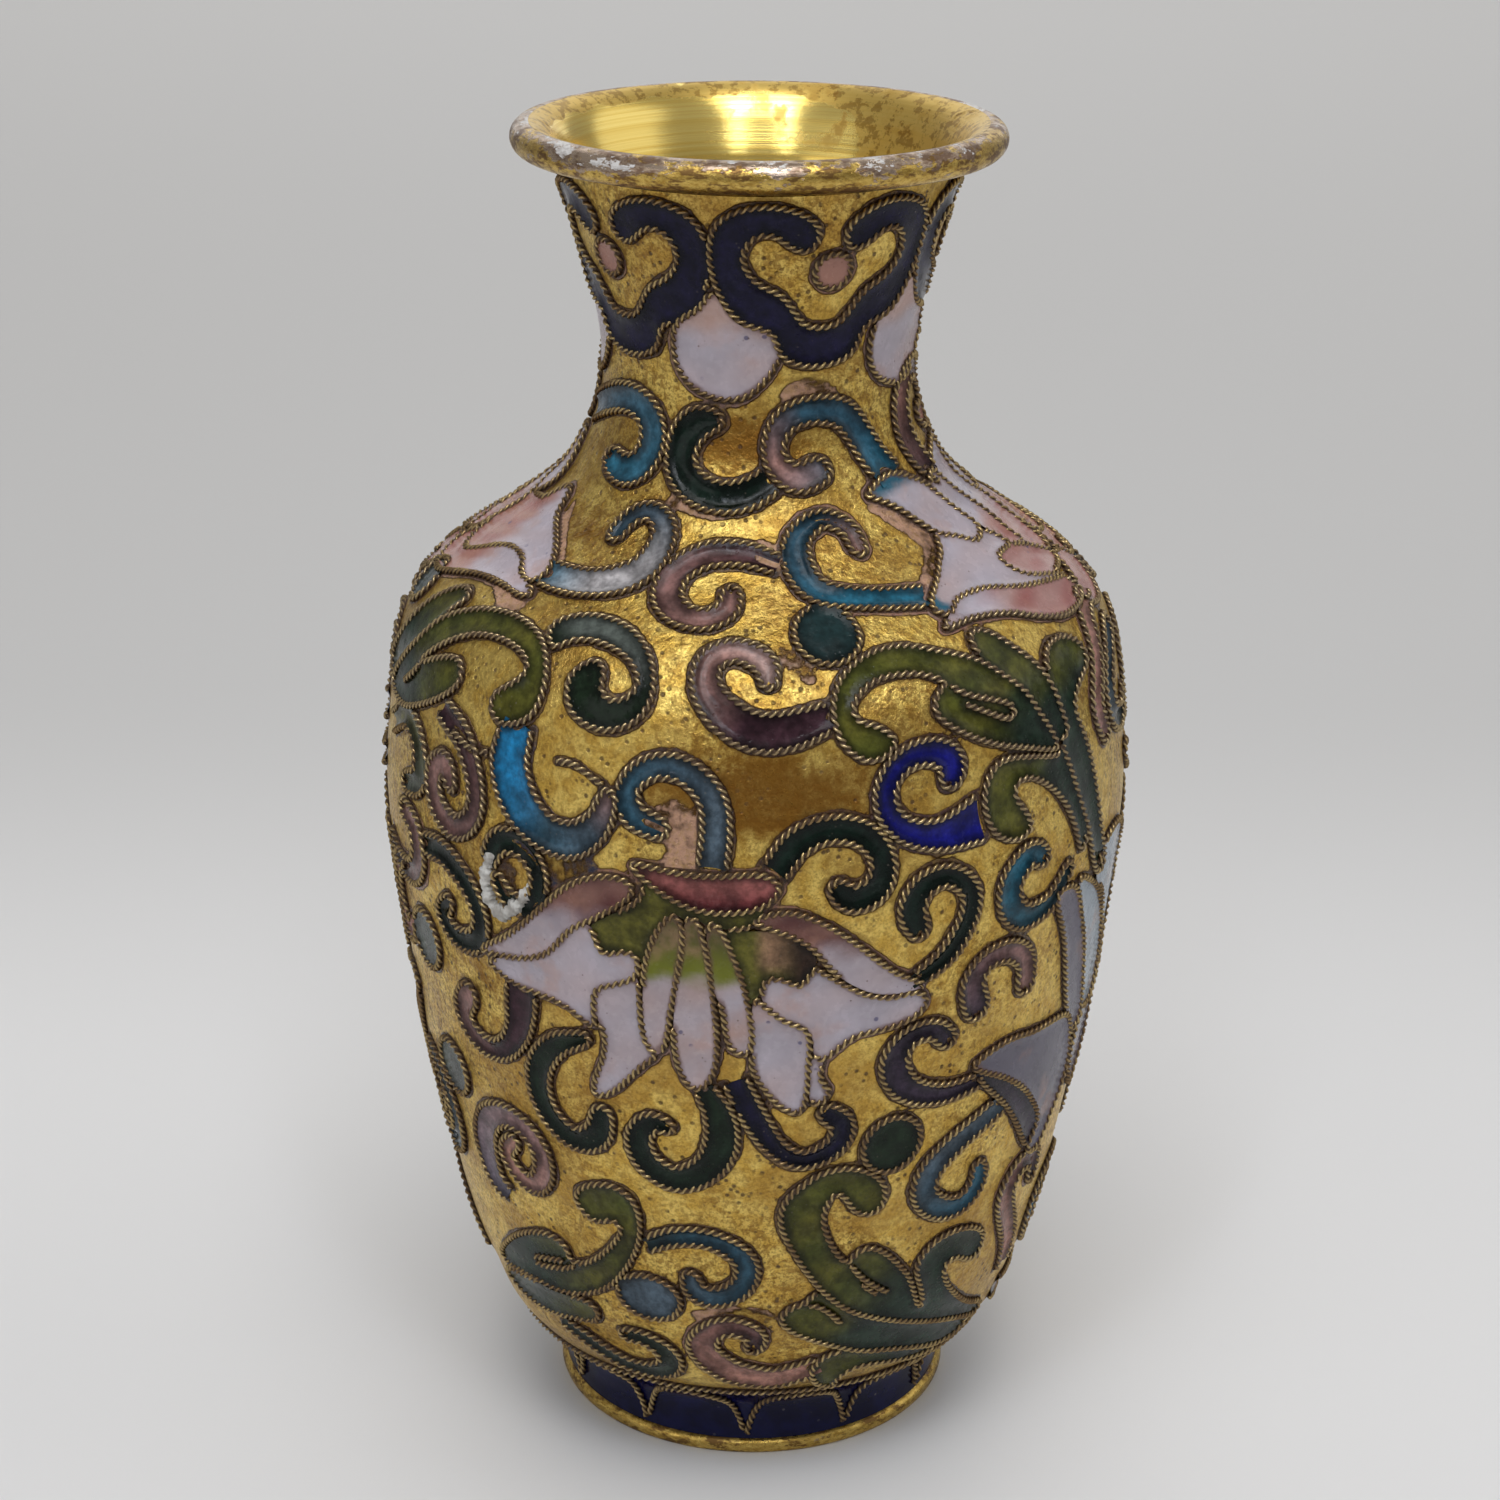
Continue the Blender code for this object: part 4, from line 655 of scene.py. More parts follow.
def radius_at(run):
    return np.interp(run, WALL_RUN, WALL_LINE[:, 1])


def wall_normal(angle, run):
    """Unit outward normals at these places on the wall."""
    rise = np.interp(run, WALL_RUN, WALL_SLOPE[:, 0])
    flare = np.interp(run, WALL_RUN, WALL_SLOPE[:, 1])
    turn = np.radians(angle)
    return np.stack([rise * np.sin(turn), -rise * np.cos(turn), -flare], -1)


def on_wall(angle, run, lift=0.0):
    """Points in millimetres at these angles and runs, lifted this far off the wall."""
    radius = radius_at(run)
    turn = np.radians(angle)
    base = np.stack([radius * np.sin(turn), -radius * np.cos(turn), height_at(run)], -1)
    return base + wall_normal(angle, run) * np.asarray(lift, float)[..., None]


def degrees_per_mm(run):
    return np.degrees(1.0 / radius_at(run))


def lengths_along(points):
    return np.concatenate([[0.0], np.cumsum(np.linalg.norm(np.diff(points, axis=0), axis=1))])


def even_spacing(line, step, closed=False):
    """The (angle, run, ...) rows resampled to an even spacing in millimetres on the wall."""
    if closed:
        line = np.vstack([line, line[:1]])
    far = lengths_along(on_wall(line[:, 0], line[:, 1]))
    count = max(int(round(far[-1] / step)), 4)
    marks = np.linspace(0, far[-1], count + 1)
    if closed:
        marks = marks[:-1]
    return np.stack([np.interp(marks, far, column) for column in line.T], -1)


def directions(line):
    """Unit steps in millimetres along (angle, run) rows: across the wall and up it."""
    step = np.gradient(line[:, :2], axis=0)
    step[:, 0] /= degrees_per_mm(line[:, 1])
    return unit(step)


def shifted(line, across):
    """(angle, run) rows moved sideways off the line by these distances in millimetres."""
    along = directions(line)
    scale = degrees_per_mm(line[:, 1])
    side = np.stack([-along[:, 1] * scale, along[:, 0]], -1)
    return line[:, :2] + side * np.asarray(across, float)[:, None]


def relaxed(path, closed, rounds=3):
    """Smooths small kinks out of a path."""
    for _ in range(rounds):
        before = np.roll(path, 1, axis=0)
        after = np.roll(path, -1, axis=0)
        middle = path * 0.5 + (before + after) * 0.25
        if not closed:
            middle[0] = path[0]
            middle[-1] = path[-1]
        path = middle
    return path


def end_of(line, at_end):
    """The row at one end of a line, and the unit step that leads out past it."""
    last = -1 if at_end else 0
    return line[last], directions(line)[last] * (1 if at_end else -1)


def cap_arc(line, at_end):
    """A half circle of (angle, run) points round one end of a strip, from its left side to its right."""
    row, along = end_of(line, at_end)
    side = np.array([-along[1], along[0]])
    turns = np.radians(np.linspace(0, 180, 9))[1:-1]
    offsets = side * np.cos(turns)[:, None] + along * np.sin(turns)[:, None]
    return row[:2] + offsets * row[2] * np.array([degrees_per_mm(row[1]), 1.0])


def outline_paths(line, ends):
    """The wire paths round a strip: one closed loop, or its open sides with a cap where it is round."""
    spine = on_wall(line[:, 0], line[:, 1])

    def side(across):
        path = shifted(line, across)
        apart = np.linalg.norm(on_wall(path[:, 0], path[:, 1])[:, None] - spine[None], axis=2)
        return path[(apart > CLEAR_SHARE * line[:, 2][None]).all(axis=1)]

    left, right = side(line[:, 2]), side(-line[:, 2])
    if ends[1] == "r":
        joined = [np.vstack([left, cap_arc(line, True), right[::-1]])]
    else:
        joined = [left, right[::-1]]
    if ends[0] != "r":
        return [(path, False) for path in joined]
    start = cap_arc(line, False)
    if len(joined) == 1:
        return [(np.vstack([joined[0], start]), True)]
    return [(np.vstack([joined[1], start, joined[0]]), False)]


# ---------------------------------------------------------------- meshes


def make_object(name, points, faces, attributes=()):
    """A smooth mesh object from millimetre points and quads or triangles, with its attributes."""
    mesh = bpy.data.meshes.new(name)
    points = np.asarray(points, float) * MM
    mesh.vertices.add(len(points))
    mesh.vertices.foreach_set("co", points.ravel().astype(np.float32))
    mesh.loops.add(faces.size)
    mesh.loops.foreach_set("vertex_index", faces.ravel().astype(np.int32))
    mesh.polygons.add(len(faces))
    mesh.polygons.foreach_set("loop_start", np.arange(0, faces.size, faces.shape[1], dtype=np.int32))
    mesh.update(calc_edges=True)
    for label, kind, values in attributes:
        layer = mesh.attributes.new(label, kind, "POINT")
        field = "color" if kind == "FLOAT_COLOR" else "value"
        layer.data.foreach_set(field, np.asarray(values, np.float32).ravel())
    mesh.shade_smooth()
    made = bpy.data.objects.new(name, mesh)
    bpy.context.scene.collection.objects.link(made)
    return made


def grid_faces(rows, columns, wrap=False):
    """Quads between the rows of a grid whose points are stored row by row."""
    spans = columns if wrap else columns - 1
    first, second = np.meshgrid(np.arange(rows - 1), np.arange(spans), indexing="ij")
    after = (second + 1) % columns
    quads = [first * columns + second, first * columns + after,
             (first + 1) * columns + after, (first + 1) * columns + second]
    return np.stack(quads, -1).reshape(-1, 4)


class Pieces:
    """Points, faces and attributes gathered for one object."""

    def __init__(self, *meshes):
        self.points = []
        self.faces = []
        self.fields = []
        self.count = 0
        for mesh in meshes:
            self.add(*mesh)

    def add(self, points, faces, fields):
        self.points.append(points)
        self.faces.append(faces + self.count)
        self.fields.append(fields)
        self.count += len(points)

    def build(self, name, kinds):
        attributes = [
            (label, kind, np.concatenate([fields[i] for fields in self.fields]))
            for i, (label, kind) in enumerate(kinds)
        ]
        return make_object(name, np.vstack(self.points), np.vstack(self.faces), attributes)


# ---------------------------------------------------------------- twisted wire


def wire_frame(spots, rows, closed):
    """At each spot of a wire, the unit vectors across it: along the wall, and off the wall."""
    if closed:
        along = np.roll(spots, -1, axis=0) - np.roll(spots, 1, axis=0)
    else:
        along = np.gradient(spots, axis=0)
    along = unit(along)
    side = unit(np.cross(along, wall_normal(rows[:, 0], rows[:, 1])))
    return side, np.cross(side, along)


def rope(path, closed, tone):
    """One length of two-strand twisted wire on the wall, as points, faces and its attributes."""
    step = TWIST_PITCH / ROPE_STEPS
    rows = even_spacing(path, step, closed)
    spots = on_wall(rows[:, 0], rows[:, 1], ROPE_LIFT)
    side, up = wire_frame(spots, rows, closed)
    count = len(spots)
    half_turns = 2 * count / ROPE_STEPS
    if closed:
        half_turns = max(round(half_turns), 1)
        swell = np.ones(count)
    else:
        marks = np.arange(count) * step
        swell = 1 + 0.05 * np.sin(marks * 0.9 + path[0, 0]) + 0.04 * np.sin(marks * 2.3 + path[0, 1])
    twist = math.pi * half_turns * np.arange(count) / count
    around = 2 * math.pi * np.arange(ROPE_SIDES) / ROPE_SIDES
    radial = STRAND_RADIUS * ((STRAND_BULGE * np.cos(around)) ** 4 + STRAND_WAIST**4) ** 0.25
    turn = twist[:, None] + around[None]
    offsets = side[:, None] * np.cos(turn)[..., None] + up[:, None] * np.sin(turn)[..., None]
    points = spots[:, None] + offsets * (radial[None] * swell[:, None])[..., None]
    # crest marks the strands' bulges against the groove between them, and height marks the side away from the
    # wall. The rope shader darkens the grooves and the flank toward the wall by them, as painted shade.
    crest = np.broadcast_to((radial - radial.min()) / np.ptp(radial), turn.shape)
    height = 0.5 + 0.5 * np.sin(turn)
    rings = np.arange(count * ROPE_SIDES).reshape(count, ROPE_SIDES)
    if closed:
        seam = np.roll(rings[:1], ROPE_SIDES // 2) if half_turns % 2 else rings[:1]
        rings = np.vstack([rings, seam])
    else:
        for end in (0, -1):
            points[end] = spots[end] + (points[end] - spots[end]) * POINTED_END
    beside = np.roll(rings, -1, axis=1)
    faces = np.stack([rings[:-1], beside[:-1], beside[1:], rings[1:]], -1).reshape(-1, 4)
    shade = np.full(count * ROPE_SIDES, tone)
    return points.reshape(-1, 3), faces, (crest.ravel(), height.ravel(), shade)


# Every wire as (path, closed, skirt colour, group).
wire_paths = []


def free_stretches(path, closed):
    """The parts of a path where no wire lies yet: neighbouring cells share one wire."""
    spots = on_wall(path[:, 0], path[:, 1])
    free = np.ones(len(path), bool)
    for other, _, _, _ in wire_paths:
        laid = on_wall(other[:, 0], other[:, 1])
        low = laid.min(axis=0) - WIRE_APART
        high = laid.max(axis=0) + WIRE_APART
        close = ((spots > low) & (spots < high)).all(axis=1) & free
        if close.any():
            apart = np.linalg.norm(spots[close][:, None] - laid[None], axis=2).min(axis=1)
            free[close] = apart > WIRE_APART
    if free.all():
        return [(path, closed)]
    if closed:
        start = int(np.argmin(free))
        path = np.roll(path, -start, axis=0)
        free = np.roll(free, -start)
    ends = np.flatnonzero(np.diff(np.concatenate([[False], free, [False]]).astype(int)))
    runs = zip(ends[::2], ends[1::2])
    return [(path[first:last], False) for first, last in runs if last - first >= SHORTEST_WIRE]


def lay_wire(path, closed, skirt, group="body"):
    """Keeps a wire path for the rope meshes and for the skirts of enamel beside it."""
    spaced = even_spacing(relaxed(path, closed), PATH_STEP, closed)
    for part, whole in free_stretches(spaced, closed):
        wire_paths.append((part, whole, skirt, group))


# ---------------------------------------------------------------- enamel strips and cells


def mixed(first, second, share):
    first = np.array(PAINT[first])
    second = np.array(PAINT[second])
    return first + (second - first) * np.asarray(share, float)[..., None]


def with_alpha(colour):
    return np.concatenate([colour, np.ones((len(colour), 1))], axis=1)


def meniscus(share):
    """How high glaze stands off the wall, from the middle of a cell, 0, to its wire, 1."""
    return GLAZE_LOW + GLAZE_RISE * np.clip(share, 0, 1) ** 3


def rounded_tip(rows, at_end):
    """The rows that round off one end of a strip, from the strip outwards."""
    row, along = end_of(rows, at_end)
    turns = np.radians(np.linspace(15, 88, TIP_ROWS))
    tip = np.repeat(row[None], TIP_ROWS, axis=0)
    tip[:, :2] += along * np.array([degrees_per_mm(row[1]), 1.0]) * (row[2] * np.sin(turns))[:, None]
    tip[:, 2] = row[2] * np.cos(turns)
    return tip


def strip(line, colours, ends):
    """The enamel of a scroll: a concave glossy strip that fills the space between its two wires."""
    rows = reach = even_spacing(line, ENAMEL_STEP)
    if ends[0] == "r":
        reach = np.vstack([rounded_tip(rows, False)[::-1], reach])
    if ends[1] == "r":
        reach = np.vstack([reach, rounded_tip(rows, True)])
    wire_share = np.minimum(STRIP_WIRE / np.maximum(reach[:, 2], STRIP_WIRE + 0.01), 0.9)
    across = np.linspace(-1, 1, STRIP_COLUMNS)
    spots = np.stack([shifted(reach, reach[:, 2] * u * STRIP_FILL) for u in across], axis=1)
    share = np.abs(across)[None] / (1 - wire_share[:, None])
    tip = np.zeros(len(reach))
    if ends[0] == "r":
        tip[:TIP_ROWS] = np.linspace(1.0, 0.2, TIP_ROWS)
    if ends[1] == "r":
        tip[-TIP_ROWS:] = np.linspace(0.2, 1.0, TIP_ROWS)
    share = np.clip(np.maximum(share, tip[:, None]), 0, 1)
    points = on_wall(spots[..., 0], spots[..., 1], meniscus(share))
    tones = np.array([PAINT[colour] for colour in colours])
    progress = np.linspace(0, len(tones) - 1, len(reach))
    along = [np.interp(progress, np.arange(len(tones)), channel) for channel in tones.T]
    colour = np.repeat(np.stack(along, -1)[:, None], STRIP_COLUMNS, axis=1)
    faces = grid_faces(len(reach), STRIP_COLUMNS)
    return points.reshape(-1, 3), faces, (with_alpha(colour.reshape(-1, 3)),)


def cell_mesh(outline, paint):
    """A cell of enamel on the wall inside a closed outline, painted by a rule from place and edge."""
    middle = outline.mean(axis=0)
    scale = degrees_per_mm(middle[1])
    flat = (outline - middle) / np.array([scale, 1.0])
    low, high = flat.min(axis=0), flat.max(axis=0)
    steps = [np.arange(start, stop, CELL_STEP) for start, stop in zip(low, high)]
    inside = np.stack(np.meshgrid(*steps), -1).reshape(-1, 2)
    apart = np.linalg.norm(inside[:, None] - flat[None], axis=2).min(axis=1)
    inside = inside[apart > CELL_MARGIN]
    spots = [Vector(p) for p in np.vstack([flat, inside])]
    edges = [(i, (i + 1) % len(flat)) for i in range(len(flat))]
    found, _, triangles, _, _, _ = delaunay_2d_cdt(spots, edges, [], 1, 1e-5)
    found = np.array(found)
    triangles = np.array([tuple(t) for t in triangles], int)
    used, triangles = np.unique(triangles, return_inverse=True)
    triangles = triangles.reshape(-1, 3)
    found = found[used]
    edge = np.linalg.norm(found[:, None] - flat[None], axis=2).min(axis=1)
    share = np.clip(1 - (edge - CELL_WIRE) / CELL_SLOPE, 0, 1)
    places = found * np.array([scale, 1.0]) + middle
    points = on_wall(places[:, 0], places[:, 1], CELL_LOW + CELL_RISE * share**2)
    first, second, third = (points[corner] for corner in triangles.T)
    facing = np.cross(second - first, third - first)
    out = wall_normal(places[triangles[:, 0], 0], places[triangles[:, 0], 1])
    if (facing * out).sum() < 0:
        triangles = triangles[:, ::-1]
    return points, triangles, (with_alpha(paint(places, outline, edge)),)


def share_between(values, low, high):
    part = np.clip((values - low) / (high - low), 0, 1)
    return part * part * (3 - 2 * part)


def cloud(places, size, seed):
    """Soft blotches from 0 to 1, about this size in millimetres, and the same each time."""
    x = np.radians(places[:, 0]) * radius_at(places[:, 1]) / size
    y = places[:, 1] / size
    waves = np.sin(x * 1.7 + seed) * np.cos(y * 1.3 - seed * 2) + np.sin(x * 0.8 - y * 1.9 + seed * 3)
    return 0.5 + 0.25 * waves


def blended(first, second, share):
    return first * (1 - share) + second * share


# Each paint rule gives the colours at these places, from the cell's outline and the distance to it.


def paint_flat(name):
    return paint_rising(name, name, 0.0, 1.0)


def paint_rising(first, second, low, high, lean=0.0):
    """One colour that turns into another between two runs, on a line that leans with the angle."""
    def rule(places, outline, edge):
        return mixed(first, second, share_between(places[:, 1] + lean * places[:, 0], low, high))
    return rule


def paint_cloudy(first, second, size, seed, amount, brightness=1.0):
    """One colour with soft blotches of another."""
    def rule(places, outline, edge):
        return mixed(first, second, cloud(places, size, seed) * amount) * brightness
    return rule


def paint_turning(first, second, low, high, weights, blotches=(0.0, 1.0, 0.0)):
    """A rule that gives way to another where the angle and run, with these weights, go from low to high.

    The blotches, as (amount, size, seed), make the border between the two ragged.
    """
    def rule(places, outline, edge):
        amount, size, seed = blotches
        level = weights[0] * places[:, 0] + weights[1] * places[:, 1] + amount * cloud(places, size, seed)
        share = share_between(level, low, high)[:, None]
        return blended(first(places, outline, edge), second(places, outline, edge), share)
    return rule


def paint_white(places, outline, edge):
    colour = mixed("white", "blush", np.clip(cloud(places, 2.4, 1.0) * 1.3 - 0.35, 0, 1) * 0.5)
    # Darker towards the outline, where the wires stand: painted shade.
    return colour * (0.87 + 0.19 * share_between(edge, 0.2, 0.9))[:, None]


def paint_drop(places, outline, edge):
    """White, blushing pink towards the drop's tip."""
    share = share_between(places[:, 1] + 1.6 * cloud(places, 1.3, 4.0), 123.4, 126.4)[:, None]
    return 1.06 * blended(paint_white(places, outline, edge), np.array(PAINT["blush"]), share)


def paint_crown(places, outline, edge):
    low, high = outline[:, 1].min(), outline[:, 1].max()
    rise = share_between(places[:, 1], low + 0.2, high - 1.0)
    colour = mixed("crimson", "pink", rise)
    dark = share_between(places[:, 0], outline[:, 0].min() + 10, outline[:, 0].min() - 2)
    return 0.75 * colour * (1 - 0.45 * dark)[:, None]


def paint_blush_to_white(places, outline, edge):
    low, high = outline[:, 1].min(), outline[:, 1].max()
    rise = (places[:, 1] - low) / (high - low)
    white = mixed("white", "blush", cloud(places, 2.0, 4.0) * 0.35)
    pink = 0.7 * mixed("rose", "crimson", 0.2 + cloud(places, 1.1, 3.0) * 0.8)
    share = share_between(rise + 0.12 * cloud(places, 1.2, 5.0), 0.45, 0.8)[:, None]
    return blended(white, pink, share)


def paint_green_to_white(places, outline, edge):
    green = mixed("olive", "lime", share_between(places[:, 1], 66.5, 62.0))
    white = mixed("white", "blush", cloud(places, 1.8, 6.0) * 0.8)
    share = share_between(places[:, 1] + 1.2 * cloud(places, 0.9, 7.0), 61.2, 63.2)[:, None]
    return blended(white, green, share)


def paint_olive_to_brown(places, outline, edge):
    east = share_between(places[:, 0], 2.5, 7.0)
    colour = mixed("olive", "brown", east)
    glow = share_between(places[:, 0], -0.5, 2.0) * (1 - east) * share_between(places[:, 1], 62.0, 64.0)
    glow = glow[:, None]
    return colour * (1 - 0.45 * glow) + np.array(PAINT["rose"]) * 0.45 * glow


def paint_leaf(angle, run, near, far):
    """Dark enamel where a leaf's blades meet, at this angle and run, and olive green further out."""
    def rule(places, outline, edge):
        across = (places[:, 0] - angle) / degrees_per_mm(places[:, 1])
        reach = np.hypot(across, places[:, 1] - run) + 2.0 * (cloud(places, 1.5, 8.0) - 0.5)
        green = mixed("leaf", "olive", cloud(places, 1.9, 9.0))
        share = share_between(reach, near, far)[:, None]
        return blended(np.array(PAINT["leaf_shade"]), green, share)
    return rule


paint_pink = paint_cloudy("pink", "blush", 1.6, 2.0, 0.7)
paint_sky = paint_flat("sky")

# Each rule's name: (rule, colour that its slot and skirt go by).
PAINT_RULES = {
    "mint_to_forest": (paint_rising("mint", "forest", 87.0, 84.0, 0.2), "grey_green"),
    "green_to_lilac": (paint_rising("lilac", "olive", 44.0, 50.0), "lilac"),
    "blue_tip_high": (paint_turning(paint_white, paint_sky, 105.2, 106.2, (-0.05, 1.0)), "white"),
    "blue_tip_low": (paint_turning(paint_white, paint_sky, 183.0, 181.0, (1.0, 1.5)), "white"),
    "pink_from_white": (
        paint_turning(paint_white, paint_pink, 46.0, 58.0, (1.0, 0.0), (3.0, 1.0, 2.0)), "pink"),
    "white_to_pink": (
        paint_turning(paint_white, paint_pink, 104.0, 100.5, (0.0, 1.0), (1.5, 1.2, 2.0)), "white"),
    "pink_west": (
        paint_turning(paint_cloudy("white", "blush", 2.0, 3.0, 0.25, 1.12),
                      paint_cloudy("rose", "pink", 1.3, 5.0, 1.0),
                      114.0, 106.0, (1.0, 0.0), (4.0, 1.3, 5.0)), "white"),
    "blush_to_white": (paint_blush_to_white, "pink"), "green_to_white": (paint_green_to_white, "white"),
    "olive_to_brown": (paint_olive_to_brown, "olive"), "crown": (paint_crown, "crimson"),
    "white": (paint_white, "white"), "pink": (paint_pink, "pink"), "olive": (paint_flat("olive"), "olive"),
    "lilac": (paint_flat("lilac"), "lilac"), "violet": (paint_flat("violet"), "violet"),
    "pale": (paint_flat("pale_blue"), "pale_blue"),
}
GLOSSY_TONES = ("leaf", "olive", "violet", "crimson", "grey_green")

# Every enamel piece still to be built: (name, pieces, material, slot, CAD node).
enamel_jobs = []

# ---------------------------------------------------------------- shader nodes


class Nodes:
    """A short way to write a material: most methods add a node and return the output that is used."""

    def __init__(self, name):
        self.material = bpy.data.materials.new(name)
        self.material.use_nodes = True
        self.tree = self.material.node_tree
        self.shader = self.tree.nodes["Principled BSDF"]
        self.where = self.tree.nodes.new("ShaderNodeTexCoord").outputs["Object"]

    def put(self, socket, value):
        if isinstance(value, bpy.types.NodeSocket):
            self.tree.links.new(value, socket)
        elif isinstance(value, tuple) and len(value) == 3 and socket.type == "RGBA":
            socket.default_value = (*value, 1.0)
        else:
            socket.default_value = value

    def node(self, kind, **inputs):
        """Adds a node and sets or links these inputs of it."""
        node = self.tree.nodes.new(kind)
        for label, value in inputs.items():
            self.put(node.inputs[label.replace("_", " ")], value)
        return node

    def attribute(self, name, output="Fac"):
        node = self.node("ShaderNodeAttribute")
        node.attribute_name = name
        return node.outputs[output]

    def axes(self, place):
        """The X, Y and Z of a place."""
        return self.node("ShaderNodeSeparateXYZ", Vector=place).outputs

    def noise(self, scale, detail=3.0, roughness=0.55):
        return self.node("ShaderNodeTexNoise", Vector=self.where, Scale=scale, Detail=detail,
                         Roughness=roughness).outputs["Fac"]

    def cells(self, scale):
        return self.node("ShaderNodeTexVoronoi", Vector=self.where, Scale=scale).outputs["Distance"]

    def math(self, operation, first, second=0.0, clamp=False):
        node = self.tree.nodes.new("ShaderNodeMath")
        node.operation = operation
        node.use_clamp = clamp
        self.put(node.inputs[0], first)
        self.put(node.inputs[1], second)
        return node.outputs[0]

    def add(self, first, second):
        return self.math("ADD", first, second)

    def times(self, first, second):
        return self.math("MULTIPLY", first, second)

    def stirred(self, value, noise, amount):
        """The value, moved up and down by a noise."""
        return self.add(value, self.times(self.math("SUBTRACT", noise, 0.5), amount))

    def ramp(self, value, low, high, to_low=0.0, to_high=1.0):
        node = self.node("ShaderNodeMapRange", Value=value, From_Min=low, From_Max=high,
                         To_Min=to_low, To_Max=to_high)
        node.interpolation_type = "SMOOTHSTEP"
        return node.outputs[0]

    def mix(self, share, first, second, blend="MIX"):
        node = self.tree.nodes.new("ShaderNodeMix")
        node.data_type = "RGBA"
        node.blend_type = blend
        self.put(node.inputs["Factor"], share)
        colours = [socket for socket in node.inputs if socket.type == "RGBA"]
        self.put(colours[0], first)
        self.put(colours[1], second)
        return [socket for socket in node.outputs if socket.type == "RGBA"][0]

    def tint(self, colour, share, amount, tint):
        return self.mix(self.times(share, amount), colour, tint)

    def specks(self, dots, patches):
        """Dots, as (scale, outer and inner edge), inside patches, as (noise scale, detail, low, high)."""
        scale, outer, inner = dots
        spots = self.ramp(self.cells(scale), outer, inner)
        scale, detail, low, high = patches
        return self.times(spots, self.ramp(self.noise(scale, detail), low, high))

    def bump(self, height, strength, distance):
        node = self.node("ShaderNodeBump", Height=height, Strength=strength, Distance=distance)
        self.put(self.shader.inputs["Normal"], node.outputs["Normal"])

    def set(self, **values):
        for label, value in values.items():
            self.put(self.shader.inputs[label.replace("_", " ")], value)
        return self.material


def glossy_enamel():
    """Translucent glassy enamel: darker at the wires, partly deeper glaze and partly painted shade, with
    faint clouds, pits and grains in it.
    """
    n = Nodes("glossy_enamel")
    paint = n.attribute("paint", "Color")
    near = n.attribute("rim")
    fine = n.noise(1500.0, 4.0, 0.65)
    broad = n.noise(380.0, 3.0)
    ragged = n.stirred(near, n.noise(520.0, 3.0), 0.75)
    shade = n.times(n.ramp(broad, 0.32, 0.7, 0.62, 1.45), n.ramp(fine, 0.3, 0.7, 0.72, 1.28))
    # Darker towards the wires: partly the deeper colour of thicker glaze there, partly painted shade.
    shade = n.times(shade, n.ramp(ragged, 0.30, 1.0, 0.30, 1.12))
    colour = n.mix(1.0, paint, shade, "MULTIPLY")
    haze = n.times(n.ramp(n.noise(230.0, 4.0), 0.52, 0.72), n.ramp(fine, 0.45, 0.65))
    colour = n.tint(colour, haze, 0.05, (0.26, 0.27, 0.25))
    grains = n.specks((1500.0, 0.20, 0.08), (260.0, 3.0, 0.5, 0.68))
    colour = n.tint(colour, grains, 0.3, (0.22, 0.19, 0.15))
    rough = n.ramp(n.noise(900.0, 4.0), 0.35, 0.75, 0.12, 0.36)
    relief = n.add(n.noise(700.0, 2.0), n.times(n.ramp(n.cells(1100.0), 0.1, 0.22), 0.4))
    n.bump(relief, 0.45, 0.00010)
    return n.set(Base_Color=colour, Roughness=rough, IOR=1.5, Specular_IOR_Level=0.16)


def petal_enamel():
    """Opaque porcelain-like enamel: cloudy, with blue and brown specks, and painted shade that darkens it at
    the wires.
    """
    n = Nodes("petal_enamel")
    paint = n.attribute("paint", "Color")
    near = n.attribute("rim")
    ragged = n.stirred(near, n.noise(600.0, 3.0), 0.5)
    shade = n.times(n.ramp(n.noise(230.0, 3.0), 0.3, 0.7, 0.91, 1.08),
                    n.ramp(n.noise(1600.0, 3.0), 0.3, 0.7, 0.97, 1.03))
    colour = n.mix(1.0, paint, shade, "MULTIPLY")
    blush = n.times(n.ramp(n.noise(150.0, 4.0), 0.52, 0.70), n.ramp(n.noise(600.0, 3.0), 0.34, 0.6))
    colour = n.tint(colour, blush, 0.34, (0.47, 0.25, 0.17))
    # Painted shade: the enamel turns dark brown close to the wires.
    colour = n.mix(n.ramp(ragged, 0.62, 0.30, 0.0, 0.8), colour, (0.13, 0.06, 0.045))
    specks = n.specks((620.0, 0.19, 0.10), (210.0, 2.0, 0.57, 0.64))
    colour = n.tint(colour, specks, 0.7, (0.035, 0.035, 0.13))
    pits = n.specks((1300.0, 0.16, 0.08), (330.0, 2.0, 0.5, 0.6))
    colour = n.tint(colour, pits, 0.6, (0.10, 0.05, 0.03))
    rough = n.ramp(n.noise(800.0, 4.0), 0.35, 0.75, 0.18, 0.36)
    n.bump(n.math("SUBTRACT", n.noise(600.0, 2.0), pits), 0.35, 0.00009)
    return n.set(Base_Color=colour, Roughness=rough, IOR=1.5, Specular_IOR_Level=0.3)


